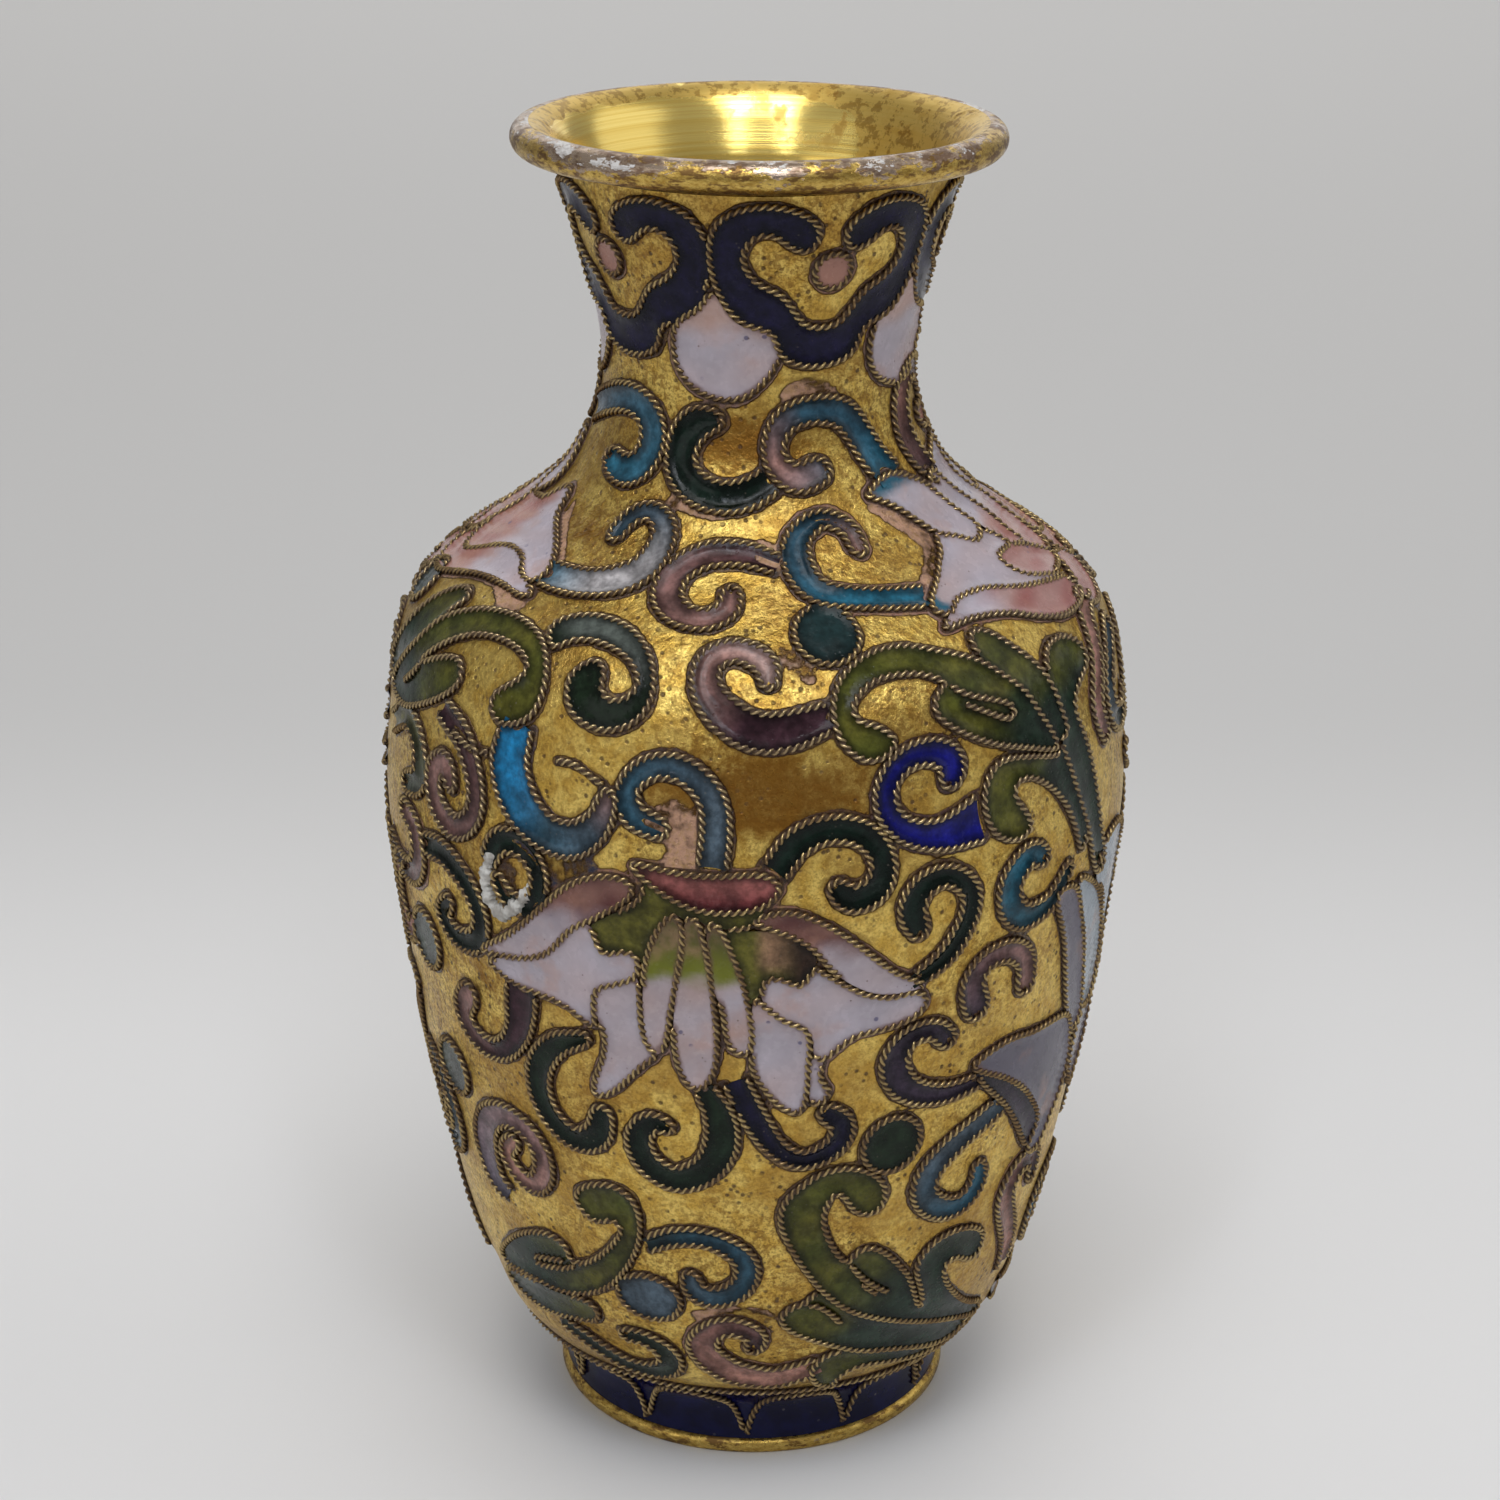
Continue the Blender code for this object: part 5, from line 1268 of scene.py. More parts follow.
def gilt_rope():
    """Twisted gilt wire: bright on the strands' crests, and dark brown in the grooves and on the flank toward
    the wall: painted shade, with brown oxide and glaze there.
    """
    n = Nodes("gilt_rope")
    crest = n.attribute("crest")
    height = n.attribute("height")
    tone = n.attribute("tone")
    worn = n.add(n.times(n.noise(140.0, 3.0), 0.6), n.times(n.noise(900.0, 3.0), 0.4))
    bright = n.mix(n.ramp(worn, 0.40, 0.60), (0.56, 0.41, 0.18), (0.26, 0.16, 0.07))
    bright = n.mix(tone, bright, (0.46, 0.39, 0.27))
    frayed = n.stirred(crest, n.noise(1400.0, 3.0), 0.5)
    # Painted shade: away from the crests, and on the flank toward the wall, the wire turns dark brown.
    top = n.times(n.ramp(frayed, 0.30, 0.85), n.ramp(height, 0.30, 0.85))
    colour = n.mix(top, (0.065, 0.036, 0.018), bright)
    rough = n.ramp(top, 0.0, 1.0, 0.60, 0.30)
    metal = n.ramp(top, 0.05, 0.6, 0.25, 1.0)
    n.bump(n.noise(2600.0, 2.0), 0.3, 0.00006)
    return n.set(Base_Color=colour, Roughness=rough, Metallic=metal)


def gilt_ground():
    """The gilded ground: gritty gold with patina, painted shade towards each wire, and the skirts of enamel
    beside each wire.
    """
    n = Nodes("gilt_ground")
    near = n.attribute("near_wire")
    skirt = n.attribute("skirt", "Color")
    grit = n.noise(3600.0, 4.0, 0.65)
    crinkle = n.noise(1500.0, 4.0, 0.65)
    patina = n.noise(80.0, 5.0, 0.65)
    blotch = n.noise(420.0, 5.0, 0.65)
    stain = n.attribute("stain")
    gold = n.mix(n.ramp(blotch, 0.40, 0.62), (0.82, 0.60, 0.165), (0.62, 0.395, 0.080))
    gold = n.mix(n.ramp(patina, 0.46, 0.64, 0.0, 0.65), gold, (0.40, 0.23, 0.05))
    rubbed = n.ramp(n.noise(55.0, 2.0), 0.40, 0.62, 0.50, 1.0)
    gold = n.mix(n.times(rubbed, n.ramp(crinkle, 0.47, 0.60, 0.0, 0.72)), gold, (0.27, 0.14, 0.032))
    gold = n.mix(n.times(rubbed, n.ramp(grit, 0.47, 0.60, 0.0, 0.60)), gold, (0.22, 0.12, 0.030))
    stained = n.stirred(stain, blotch, 1.4)
    gold = n.mix(n.ramp(stained, 0.20, 0.95, 0.0, 0.88), gold, (0.20, 0.085, 0.014))
    # Painted shade with brown patina: the gold darkens towards the wires.
    closeness = n.stirred(near, blotch, 2.0)
    gold = n.mix(n.ramp(closeness, 0.85, 0.35, 0.0, 0.55), gold, (0.17, 0.085, 0.02))
    specks = n.specks((1150.0, 0.32, 0.14), (300.0, 2.0, 0.44, 0.58))
    gold = n.tint(gold, specks, 0.8, (0.06, 0.028, 0.012))
    ragged = n.stirred(near, n.noise(900.0, 4.0), 0.55)
    ragged = n.stirred(ragged, n.noise(110.0, 2.0), 0.7)
    inside = n.ramp(ragged, SKIRT_REACH + 0.05, SKIRT_REACH - 0.05)
    line = n.times(n.ramp(ragged, SKIRT_REACH - 0.12, SKIRT_REACH),
                   n.ramp(ragged, SKIRT_REACH + 0.12, SKIRT_REACH + 0.02))
    skirt = n.mix(n.ramp(n.noise(620.0, 4.0), 0.42, 0.72), skirt, n.mix(0.5, skirt, (0.06, 0.025, 0.014)))
    colour = n.mix(n.times(inside, n.ramp(crinkle, 0.62, 0.45, 0.6, 1.0)), gold, skirt)
    colour = n.tint(colour, line, 0.75, (0.05, 0.020, 0.010))
    # A dark brown band at the foot of each wire: painted shade where the wire meets the ground, with dirt.
    shade_and_dirt = n.ramp(n.stirred(near, crinkle, 0.12), 0.42, 0.34)
    colour = n.tint(colour, shade_and_dirt, 0.8, (0.035, 0.017, 0.010))
    metal = n.math("SUBTRACT", 1.0, n.math("MAXIMUM", inside, n.times(specks, 0.7)), True)
    rough = n.add(n.ramp(grit, 0.3, 0.7, 0.26, 0.46), n.times(inside, -0.10))
    relief = n.add(n.times(grit, 0.30), n.times(crinkle, 0.6))
    relief = n.add(relief, n.times(n.noise(620.0, 2.0), 0.8))
    relief = n.add(relief, n.times(inside, 0.6))
    relief = n.math("SUBTRACT", relief, n.times(specks, 0.4))
    n.bump(relief, 0.9, 0.00026)
    return n.set(Base_Color=colour, Roughness=rough, Metallic=metal, Specular_IOR_Level=0.3)


def spun_gold():
    """The inside of the neck: polished gold with spinning lines round it and a few stains, and painted shade
    that darkens it further down.
    """
    n = Nodes("spun_gold")
    x, _, z = n.axes(n.where)
    rings = n.tree.nodes.new("ShaderNodeTexNoise")
    rings.noise_dimensions = "1D"
    for label, value in (("W", z), ("Scale", 1700.0), ("Detail", 5.0), ("Roughness", 0.7)):
        n.put(rings.inputs[label], value)
    lines = rings.outputs["Fac"]
    stains = n.times(n.ramp(n.noise(330.0, 5.0, 0.65), 0.52, 0.62), n.ramp(n.noise(60.0, 2.0), 0.45, 0.6))
    gold = n.mix(n.ramp(lines, 0.35, 0.7), (0.92, 0.72, 0.23), (0.78, 0.54, 0.12))
    # Painted shade: the gold turns dark further down the neck.
    deep = n.ramp(z, 0.1262, 0.1190)
    gold = n.mix(deep, gold, (0.38, 0.24, 0.042))
    patch = n.add(n.ramp(x, 0.0035, 0.0135), n.ramp(z, 0.1275, 0.1295, 0.0, 0.8))
    matte = n.ramp(n.add(patch, n.noise(240.0, 5.0, 0.65)), 1.12, 1.18)
    flecks = n.ramp(n.noise(900.0, 4.0, 0.7), 0.50, 0.58)
    worn = n.mix(flecks, (0.62, 0.42, 0.11), (0.30, 0.165, 0.035))
    colour = n.tint(gold, stains, 0.65, (0.34, 0.17, 0.035))
    colour = n.tint(colour, matte, 0.8, worn)
    rough = n.add(n.ramp(lines, 0.3, 0.75, 0.16, 0.26), n.times(stains, 0.25))
    rough = n.add(rough, n.times(matte, 0.22))
    round_axis = n.node("ShaderNodeTangent")
    round_axis.direction_type = "RADIAL"
    round_axis.axis = "Z"
    n.put(n.shader.inputs["Tangent"], round_axis.outputs[0])
    n.set(Anisotropic=0.55, Anisotropic_Rotation=0.25)
    n.bump(lines, 0.25, 0.00010)
    return n.set(Base_Color=colour, Roughness=rough, Metallic=1.0)


def worn_gold(name, worn_share):
    """Gilding rubbed through to grey metal and white bloom, with brown tarnish round the bare spots; more so
    on the rim bead's top, partly as a painted highlight.
    """
    n = Nodes(name)
    place = n.where
    n.where = n.node("ShaderNodeMapping", Vector=place, Scale=(1.0, 1.0, 2.4)).outputs[0]
    big = n.noise(130.0, 6.0, 0.72)
    middle = n.noise(420.0, 6.0, 0.72)
    fine = n.noise(1300.0, 4.0, 0.65)
    _, _, z = n.axes(place)
    # More silver and bare metal on the top of the rim bead, less below its middle: partly wear, partly a
    # painted highlight of the lamps.
    big = n.add(big, n.ramp(z, RIM_MIDDLE - 0.0012, RIM_MIDDLE + 0.0012, -0.09, 0.05))
    gold = n.mix(n.ramp(fine, 0.35, 0.7), (0.66, 0.46, 0.125), (0.38, 0.23, 0.048))
    tarnish = n.ramp(middle, 0.555 - worn_share * 0.5, 0.63 - worn_share * 0.5)
    colour = n.tint(gold, tarnish, 0.9, (0.17, 0.09, 0.035))
    silver = n.ramp(n.add(big, n.times(fine, 0.25)), 0.76 - worn_share, 0.80 - worn_share)
    rubbed = n.times(silver, 0.85)
    grey = n.mix(n.ramp(middle, 0.42, 0.58), (0.46, 0.37, 0.32), (0.22, 0.145, 0.105))
    colour = n.mix(rubbed, colour, grey)
    bare = n.ramp(n.add(big, n.times(middle, 0.35)), 0.935 - worn_share, 0.955 - worn_share)
    colour = n.mix(bare, colour, n.mix(n.ramp(fine, 0.4, 0.6), (0.48, 0.45, 0.43), (0.66, 0.64, 0.62)))
    metal = n.ramp(bare, 0.0, 1.0, 1.0, 0.25)
    rough = n.add(n.ramp(middle, 0.35, 0.65, 0.22, 0.46), n.times(bare, 0.2))
    n.bump(n.add(fine, n.add(silver, bare)), 0.4, 0.00012)
    return n.set(Base_Color=colour, Roughness=rough, Metallic=metal)


def foot_enamel():
    """Deep navy enamel of the foot band, glossy, with pits and a few pale scratches."""
    n = Nodes("foot_enamel")
    colour = n.mix(n.ramp(n.noise(330.0, 4.0), 0.35, 0.7), (0.003, 0.003, 0.022), (0.006, 0.007, 0.048))
    marks = n.specks((800.0, 0.16, 0.08), (200.0, 3.0, 0.52, 0.66))
    colour = n.tint(colour, marks, 0.5, (0.20, 0.18, 0.17))
    n.bump(n.noise(500.0, 3.0), 0.3, 0.0001)
    rough = n.ramp(n.noise(600.0), 0.3, 0.7, 0.10, 0.26)
    return n.set(Base_Color=colour, Roughness=rough, Specular_IOR_Level=0.16)


def chalk():
    """White filler where the enamel chipped off."""
    n = Nodes("chalk_filler")
    colour = n.mix(n.ramp(n.noise(900.0, 4.0), 0.35, 0.65), (0.62, 0.61, 0.58), (0.36, 0.34, 0.31))
    n.bump(n.noise(1400.0, 4.0), 0.8, 0.0003)
    return n.set(Base_Color=colour, Roughness=0.85)


def floor_paper():
    """Matt pale paper, with painted shade that makes it greyer behind the vase."""
    n = Nodes("floor_paper")
    _, y, _ = n.axes(n.where)
    near = n.mix(n.noise(9.0, 3.0), (0.78, 0.775, 0.775), (0.80, 0.795, 0.79))
    # Painted shade: the paper darkens further back behind the vase.
    colour = n.mix(n.ramp(y, 0.05, 0.21), near, (0.61, 0.605, 0.60))
    return n.set(Base_Color=colour, Roughness=0.55)


# ---------------------------------------------------------------- building the vase


def finish_piece(piece, material, slot, *nodes):
    piece.data.materials.append(material)
    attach(piece, "root")
    for node in nodes:
        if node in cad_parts:
            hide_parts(node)


def build_scrolls(materials):
    """Every scroll and leaf: its own piece where the CAD has one, and the rest by colour."""
    loose = {}
    for side, turn in PATTERN_TURNS:
        for name, (colours, ends, points) in SCROLLS.items():
            colours = colours.split()
            start = colours[0]
            line = smooth_curve(points, 8)
            line[:, 2] = np.maximum(line[:, 2], NARROWEST_SCROLL)
            line[:, 0] += turn
            for path, closed in outline_paths(even_spacing(line, ENAMEL_STEP), ends):
                lay_wire(path, closed, skirt_of(start))
            mesh = strip(line, colours, ends)
            node = f"{name}_{side}"
            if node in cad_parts:
                job = (f"{node}_enamel", Pieces(mesh), materials["glossy"], SLOT_OF[start], node)
                enamel_jobs.append(job)
            else:
                loose.setdefault((SLOT_OF[start], side), Pieces()).add(*mesh)
    for _, turn in PATTERN_TURNS:
        for vein in VEINS:
            lay_wire(smooth_curve(np.array(vein) + (turn, 0.0), 6), False, skirt_of("olive"))
    for (slot, side), pieces in loose.items():
        enamel_jobs.append((f"{slot}_scrolls_{side}", pieces, materials["glossy"], slot, ""))


def oval_outline(angle, run, wide, high):
    turns = np.radians(np.arange(0, 360, 12))
    scale = degrees_per_mm(run)
    return np.stack([angle + wide * scale * np.cos(turns), run + high * np.sin(turns)], -1)


def build_ovals(materials):
    for side, turn in PATTERN_TURNS:
        pieces = Pieces()
        for colour, angle, run, wide, high in OVALS.values():
            outline = oval_outline(angle + turn, run, wide, high)
            lay_wire(outline, True, skirt_of(colour))
            pieces.add(*cell_mesh(outline, paint_flat(colour)))
        enamel_jobs.append((f"oval_enamels_{side}", pieces, materials["glossy"], "enamel_dark_green", ""))


def petal_sets():
    """Yields every petal and leaf as (name, paint rule, outline, turn), all round the vase."""
    for side, turn in PATTERN_TURNS:
        for name, (rule, outline) in (PETALS | LEAVES | SHOULDER_PETALS).items():
            yield f"{name}_{side}", rule, np.array(outline) + (turn, 0.0), turn
        for name, (rule, outline) in BELLY_PETALS.items():
            near = np.array(outline)
            far = near.copy()
            far[:, 0] = BELLY_CENTRE + (BELLY_CENTRE - near[:, 0]) * SIDE_SQUEEZE
            yield f"{name}_left_{side}", rule, near + (turn, 0.0), turn
            yield f"{name}_right_{side}", rule, far[::-1] + (turn, 0.0), turn


def build_petals(materials):
    for name, rule, outline, turn in petal_sets():
        curve = smooth_curve(outline, 6, closed=True)
        if rule[0] == "leaf":
            paint, tone = paint_leaf(*rule[1:]), "leaf"
        else:
            paint, tone = PAINT_RULES[rule]
        points, faces, fields = cell_mesh(curve - (turn, 0.0), paint)
        if turn:
            points = points * (-1, -1, 1)
        lay_wire(curve, True, skirt_of(tone))
        pieces = Pieces((points, faces, fields))
        material = materials["glossy" if tone in GLOSSY_TONES else "petal"]
        enamel_jobs.append((f"{name}_enamel", pieces, material, SLOT_OF[tone], name))


def build_neck(materials):
    """Five ruyi heads with a pink spot in each, and a white drop between each two."""
    mirrored = [(-angle, run) for angle, run in RUYI_HALF]
    head = smooth_curve(RUYI_HALF + mirrored[::-1], 4, closed=True)
    drop = smooth_curve(DROP_OUTLINE, 6, closed=True)
    for i in range(RUYI_COUNT):
        turn = RUYI_FIRST + RUYI_PITCH * i
        spot = oval_outline(SPOT_SHIFTS[i], SPOT_RUN, SPOT_RADIUS, SPOT_RADIUS)
        for name, outline, colour, slot, material in (
                ("ruyi_head_enamel", head, "navy", "enamel_navy", "glossy"),
                ("neck_drop_enamel", drop, "white", "enamel_white", "petal"),
                ("ruyi_spot", spot, "rose", "enamel_pink", "petal")):
            placed = outline + (turn, 0.0)
            lay_wire(placed, True, skirt_of(colour))
            paint = paint_drop if colour == "white" else paint_flat(colour)
            node = f"{name}_{i + 1}"
            pieces = Pieces(cell_mesh(placed, paint))
            enamel_jobs.append((f"{node}_cell", pieces, materials[material], slot, node))


def skirt_of(colour):
    """The colour of the thin enamel that ran out past a wire: brown, with a little of the cell's."""
    rosy = colour in ("rose", "mauve", "pink", "blush", "crimson", "white")
    base = np.array(SKIRT_ROSY if rosy else SKIRT_BROWN)
    return (1 - SKIRT_OWN_SHARE) * base + SKIRT_OWN_SHARE * np.array(PAINT[colour])


def rope_group(path, group):
    """The mesh that this wire goes in: by height and side, so that no mesh grows too large."""
    if group != "body":
        return group
    run = path[:, 1].mean()
    side = "back" if math.cos(math.radians(path[:, 0].mean())) < 0 else "front"
    for band, top in ROPE_BANDS:
        if run < top:
            return f"{band}_wire_{side}"
    return f"neck_wire_{side}"


def build_ropes(material):
    groups = {}
    for path, closed, _, group in wire_paths:
        tone = 0.35 if PALE_ROPE_RUNS[0] < path[:, 1].mean() < PALE_ROPE_RUNS[1] else 0.1
        groups.setdefault(rope_group(path, group), Pieces()).add(*rope(path, closed, tone))
    for name, pieces in groups.items():
        finish_piece(pieces.build(f"{name}_rope", ROPE_FIELDS), material, "gilt_wire", name)


class WireField:
    """Finds the nearest wire to any place, and the colour of the skirt beside it."""

    def __init__(self):
        spots = np.vstack([on_wall(path[:, 0], path[:, 1]) for path, _, _, _ in wire_paths])
        skirts = [np.repeat(skirt[None], len(path), axis=0) for path, _, skirt, _ in wire_paths]
        self.skirts = np.vstack(skirts)
        self.tree = kdtree.KDTree(len(spots))
        for i, spot in enumerate(spots):
            self.tree.insert(spot, i)
        self.tree.balance()

    def near(self, points):
        """For each point in millimetres, the distance to the nearest wire and that wire's skirt colour."""
        found = [self.tree.find(point) for point in points]
        distance = np.array([f[2] for f in found])
        return distance, self.skirts[np.array([f[1] for f in found])]


def build_enamels(wires):
    """Makes the enamel pieces, darkest beside the wires: each point gets its distance to the nearest wire, by
    which the shaders paint shade there.
    """
    for name, pieces, material, slot, node in enamel_jobs:
        distance, _ = wires.near(np.vstack(pieces.points))
        start = 0
        for i, (paint,) in enumerate(pieces.fields):
            pieces.fields[i] = (paint, distance[start : start + len(paint)])
            start += len(paint)
        finish_piece(pieces.build(name, ENAMEL_FIELDS), material, slot, node)


def inside_outline(x, y, outline):
    """Which points are inside a closed outline, and how far each of them is from it."""
    inside = np.zeros(len(x), bool)
    reach = np.full(len(x), 1e9)
    for (x0, y0), (x1, y1) in zip(outline, np.roll(outline, -1, axis=0)):
        wide, high = x1 - x0, y1 - y0
        crosses = (y0 > y) != (y1 > y)
        with np.errstate(divide="ignore", invalid="ignore"):
            inside ^= crosses & (x < wide * (y - y0) / high + x0)
        share = np.clip(((x - x0) * wide + (y - y0) * high) / (wide**2 + high**2), 0, 1)
        reach = np.minimum(reach, np.hypot(x - x0 - share * wide, y - y0 - share * high))
    return inside, reach


def degrees_from(angle, middle):
    """How far each angle is from the middle one, the short way round."""
    return (angle - middle + 180) % 360 - 180


def with_spills(angle, run, distance, skirt):
    """Widens the skirts over the places where enamel ran out."""
    distance = distance.copy()
    skirt = skirt.copy()
    for _, turn in PATTERN_TURNS:
        for colour, points in SPILLS:
            outline = smooth_curve(points, 4, closed=True)
            middle = outline.mean(axis=0)
            scale = degrees_per_mm(middle[1])
            across = degrees_from(angle - turn, middle[0]) / scale
            near = np.flatnonzero((np.abs(across) < SPILL_WINDOW) & (np.abs(run - middle[1]) < SPILL_WINDOW))
            flat = (outline - middle) / (scale, 1.0)
            inside, reach = inside_outline(across[near], run[near] - middle[1], flat)
            level = SKIRT_REACH + np.where(inside, -reach, reach) * 0.8
            lower = level < distance[near]
            distance[near[lower]] = np.maximum(level[lower], FILM_REACH)
            skirt[near[lower]] = np.array(SPILL_TINTS[colour])
    return distance, skirt


def tarnish(angle, run):
    """How strongly the gilding is stained at each place."""
    found = np.zeros(len(run))
    for _, turn in PATTERN_TURNS:
        for middle, level, wide, high, strength in STAINS:
            across = degrees_from(angle - turn, middle) / degrees_per_mm(run)
            faded = np.exp(-((across / wide) ** 2) - ((run - level) / high) ** 2)
            found = np.maximum(found, strength * faded)
    return found


def build_ground(material, wires):
    """The gilded wall under the pattern, in three bands."""
    for name, node, low, high in GROUND_BANDS:
        runs = np.linspace(low, high, int((high - low) / GROUND_STEP) + 1)
        angles = np.arange(GROUND_COLUMNS) * 360.0 / GROUND_COLUMNS
        run, angle = (grid.ravel() for grid in np.meshgrid(runs, angles, indexing="ij"))
        distance, skirt = wires.near(on_wall(angle, run))
        distance = distance - PINK_SKIRT_EXTRA * (skirt[:, 0] > PINK_SKIRT)
        distance, skirt = with_spills(angle, run, distance, skirt)
        points = on_wall(angle, run, FILLET_LIFT * np.exp(-((distance / FILLET_REACH) ** 2)))
        made = make_object(name, points, grid_faces(len(runs), GROUND_COLUMNS, wrap=True), (
            ("near_wire", "FLOAT", distance), ("skirt", "FLOAT_COLOR", with_alpha(skirt)),
            ("stain", "FLOAT", tarnish(angle, run))))
        finish_piece(made, material, "gilded_copper", node)


def turned(name, section, segments=256):
    """A surface turned about Z from an open line of (height, radius) points."""
    height, radius = np.array(section, float).T[:, :, None]
    turns = 2 * math.pi * np.arange(segments) / segments
    height = np.broadcast_to(height, (len(section), segments))
    points = np.stack([radius * np.sin(turns), -radius * np.cos(turns), height], -1)
    return make_object(name, points.reshape(-1, 3), grid_faces(len(section), segments, wrap=True))


def wall_section(low, high, count, lift):
    """(height, radius) points from one run to another, this far off the outer wall."""
    runs = np.linspace(low, high, count)
    return list(zip(height_at(runs), radius_at(runs) + lift))


def build_rim(materials):
    """The worn round bead at the mouth, and the bright spun inside of the neck."""
    centre = OVERALL_HEIGHT - BEAD_RADIUS
    turns = np.radians(np.linspace(-100, 185, 28))
    bead = [(centre + BEAD_RADIUS * math.sin(t), BEAD_RING_RADIUS + BEAD_RADIUS * math.cos(t)) for t in turns]
    throat = float(radius_at(WALL_RUN[-1]))
    top = PROFILE[-1][0]
    under = [(top - 0.1, throat - 0.05), (top + 0.45, throat + 0.55), (centre - 1.2, throat + 1.7)]
    made = turned("mouth_rim", under + bead)
    finish_piece(made, materials["rim"], "gilded_copper", "mouth_rim_bead")
    lip = [(129.98, 21.1), (129.8, 20.5), (129.3, 19.7), (128.5, 18.95), (127.4, 18.25), (126.0, 17.6)]
    inside_top = float(np.interp(INSIDE_TOP_HEIGHT, WALL_LINE[:, 0], WALL_RUN))
    inner = wall_section(inside_top, INSIDE_SEAM_RUN, 90, -WALL)
    made = turned("neck_inside", smooth_curve(lip + inner, 3))
    finish_piece(made, materials["inside"], "gilded_copper")
    lower = wall_section(INSIDE_SEAM_RUN, INSIDE_FLOOR_RUN, 40, -WALL) + [(6.5, 17.0), (6.4, 8.0), (6.4, 0.3)]
    made = turned("belly_inside", lower, 128)
    finish_piece(made, materials["inside"], "gilded_copper", "base_plate")


def build_foot(materials):
    """The navy band with its scalloped wire, the gilt flange and the base."""
    made = turned("foot_enamel", wall_section(0.0, FOOT_RING_RUN, 26, 0.05))
    finish_piece(made, materials["foot_enamel"], "enamel_navy", "foot_enamel_band")
    flange = [(0.25, 17.8), (0.0, 18.1), (0.0, 19.75), (0.12, FOOT_RADIUS - 0.08), (0.35, FOOT_RADIUS),
              (0.9, FOOT_RADIUS), (1.15, FOOT_RADIUS - 0.12), (1.35, 19.7), (1.6, 19.3)]
    made = turned("foot_flange", flange)
    finish_piece(made, materials["foot_gold"], "gilded_copper", "foot_ring")
    recess = [(4.9, 0.3), (4.9, 15.9), (4.6, 16.6), (3.6, 17.3), (0.25, 17.8)]
    made = turned("foot_recess", recess)
    finish_piece(made, materials["base"], "counter_enamel", "base_counter_enamel")
    angles = np.arange(-180.0, 180.1, 0.5)
    ring = np.full(len(angles), FOOT_RING_RUN)
    lay_wire(np.stack([angles, ring], -1), False, skirt_of("navy"), "foot_ring_wire")
    for k in range(ARCH_COUNT):
        middle = ARCH_FOOT + (k + 0.5) * 360.0 / ARCH_COUNT
        share = np.sin(np.radians(np.arange(-90, 91, 3)))
        across = middle + ARCH_HALF * 360.0 / ARCH_COUNT * share
        arch = np.stack([across, ARCH_LOW + ARCH_RISE * (1 - share**2) ** ARCH_BLUNT], -1)
        lay_wire(arch, False, skirt_of("navy"), "foot_scallop_wire")


def build_chip(material):
    """The ragged ridge of white filler round the place where a comma's enamel chipped off."""
    line = even_spacing(smooth_curve(CHIP_LINE, 8), CHIP_STEP)
    marks = np.arange(len(line))
    ragged = 1 + 0.3 * np.sin(marks * 0.37 + 0.5) + 0.2 * np.sin(marks * 1.31) + 0.1 * np.sin(marks * 2.9)
    across = np.linspace(-1, 1, CHIP_COLUMNS)
    spots = np.stack([shifted(line, line[:, 2] * ragged * u) for u in across], axis=1)
    ends = np.sin(np.pi * marks / (len(line) - 1)) ** 0.3
    swell = CHIP_HEIGHT * ends * (0.85 + 0.15 * np.sin(marks * 0.53))
    points = on_wall(spots[..., 0], spots[..., 1], swell[:, None] * np.sqrt(1 - across**2))
    made = make_object("chipped_filler", points.reshape(-1, 3), grid_faces(len(line), len(across)))
    finish_piece(made, material, "enamel_white")


# ---------------------------------------------------------------- stage


def add_camera():
    camera = bpy.data.objects.new("camera", bpy.data.cameras.new("camera"))
    bpy.context.scene.collection.objects.link(camera)
    camera.data.lens = CAMERA_LENS
    camera.data.sensor_width = CAMERA_SENSOR
    camera.data.shift_x = CAMERA_SHIFT
    camera.data.clip_start = 0.01
    tilt = Matrix.Rotation(math.radians(90) - CAMERA_PITCH, 4, "X")
    roll = Matrix.Rotation(CAMERA_ROLL, 4, "Z")
    camera.matrix_world = Matrix.Translation(CAMERA_PLACE) @ tilt @ roll
    bpy.context.scene.camera = camera


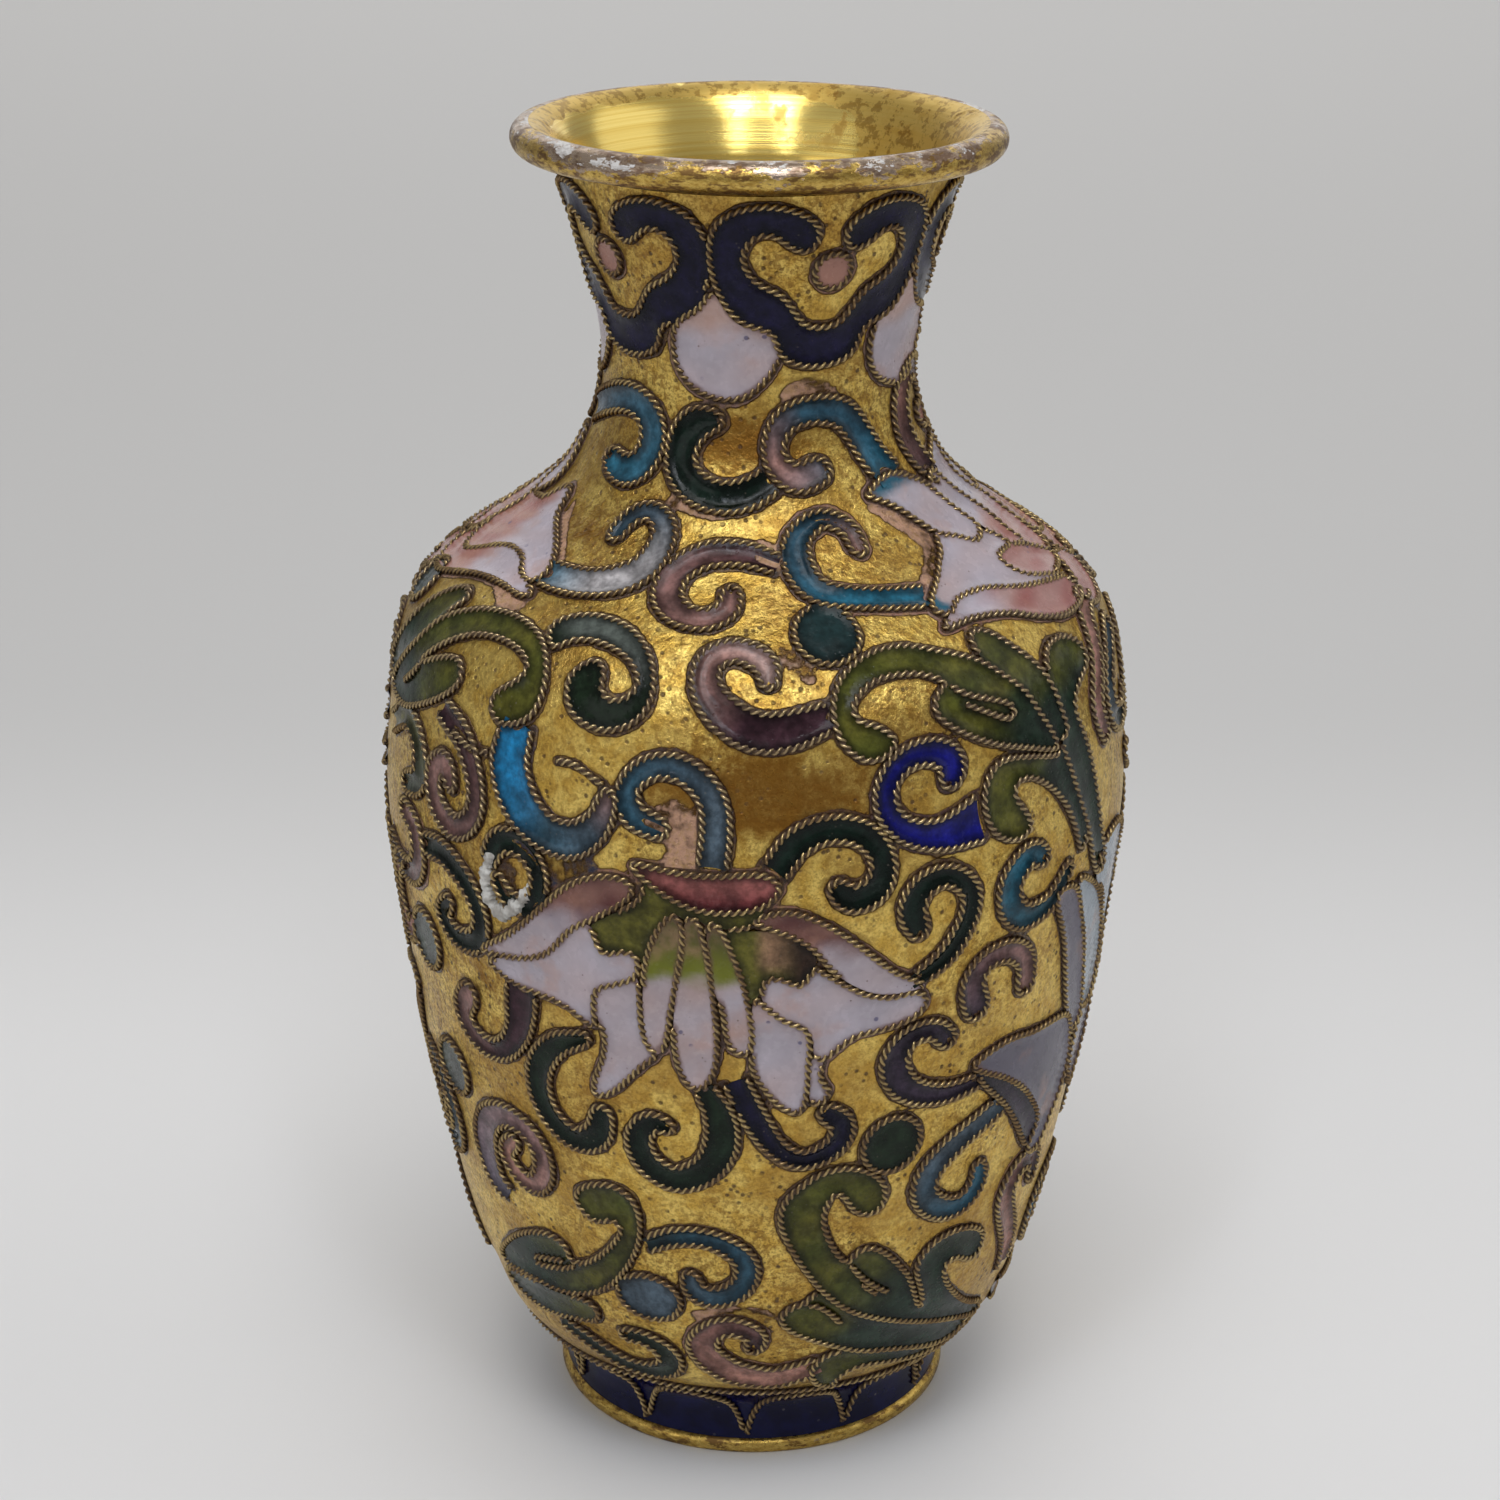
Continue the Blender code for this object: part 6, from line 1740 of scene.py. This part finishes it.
def add_light(name, place, target, size, power, colour):
    light = bpy.data.lights.new(name, "AREA")
    light.shape = "RECTANGLE"
    light.size, light.size_y = size
    light.energy = power
    light.color = colour
    made = bpy.data.objects.new(name, light)
    bpy.context.scene.collection.objects.link(made)
    made.location = place
    made.rotation_euler = (Vector(target) - Vector(place)).to_track_quat("-Z", "Y").to_euler()


def add_stage():
    """A pale floor, a soft grey surround that is brighter overhead, and large soft lights all round."""
    turns = np.radians(np.arange(0, 360, FLOOR_TURN))
    rings = [[(r * math.cos(t), r * math.sin(t), 0.0) for t in turns] for r in FLOOR_RINGS]
    faces = grid_faces(len(FLOOR_RINGS), len(turns), wrap=True)
    floor = make_object("floor", np.array(rings).reshape(-1, 3), faces)
    floor.data.materials.append(floor_paper())
    world = bpy.data.worlds.new("studio")
    bpy.context.scene.world = world
    world.use_nodes = True
    tree = world.node_tree
    surround = tree.nodes["Background"]
    surround.inputs["Color"].default_value = SURROUND_TINT
    towards = tree.nodes.new("ShaderNodeTexCoord")
    split = tree.nodes.new("ShaderNodeSeparateXYZ")
    level = tree.nodes.new("ShaderNodeMapRange")
    tree.links.new(towards.outputs["Generated"], split.inputs[0])
    tree.links.new(split.outputs["Z"], level.inputs["Value"])
    for label, value in SURROUND_RAMP.items():
        level.inputs[label].default_value = value
    tree.links.new(level.outputs[0], surround.inputs["Strength"])
    for name, settings in LIGHTS.items():
        add_light(name, *settings)


# ---------------------------------------------------------------- everything


def build_vase():
    materials = {
        "glossy": glossy_enamel(), "petal": petal_enamel(), "rim": worn_gold("worn_rim_gold", 0.14),
        "foot_gold": worn_gold("worn_foot_gold", 0.08), "inside": spun_gold(),
        "foot_enamel": foot_enamel(), "base": foot_enamel(),
    }
    build_petals(materials)
    build_scrolls(materials)
    build_ovals(materials)
    build_neck(materials)
    build_foot(materials)
    build_rim(materials)
    build_ropes(gilt_rope())
    wires = WireField()
    build_enamels(wires)
    build_ground(gilt_ground(), wires)
    build_chip(chalk())


bpy.context.scene.view_settings.view_transform = "Standard"
build_vase()
add_stage()
add_camera()
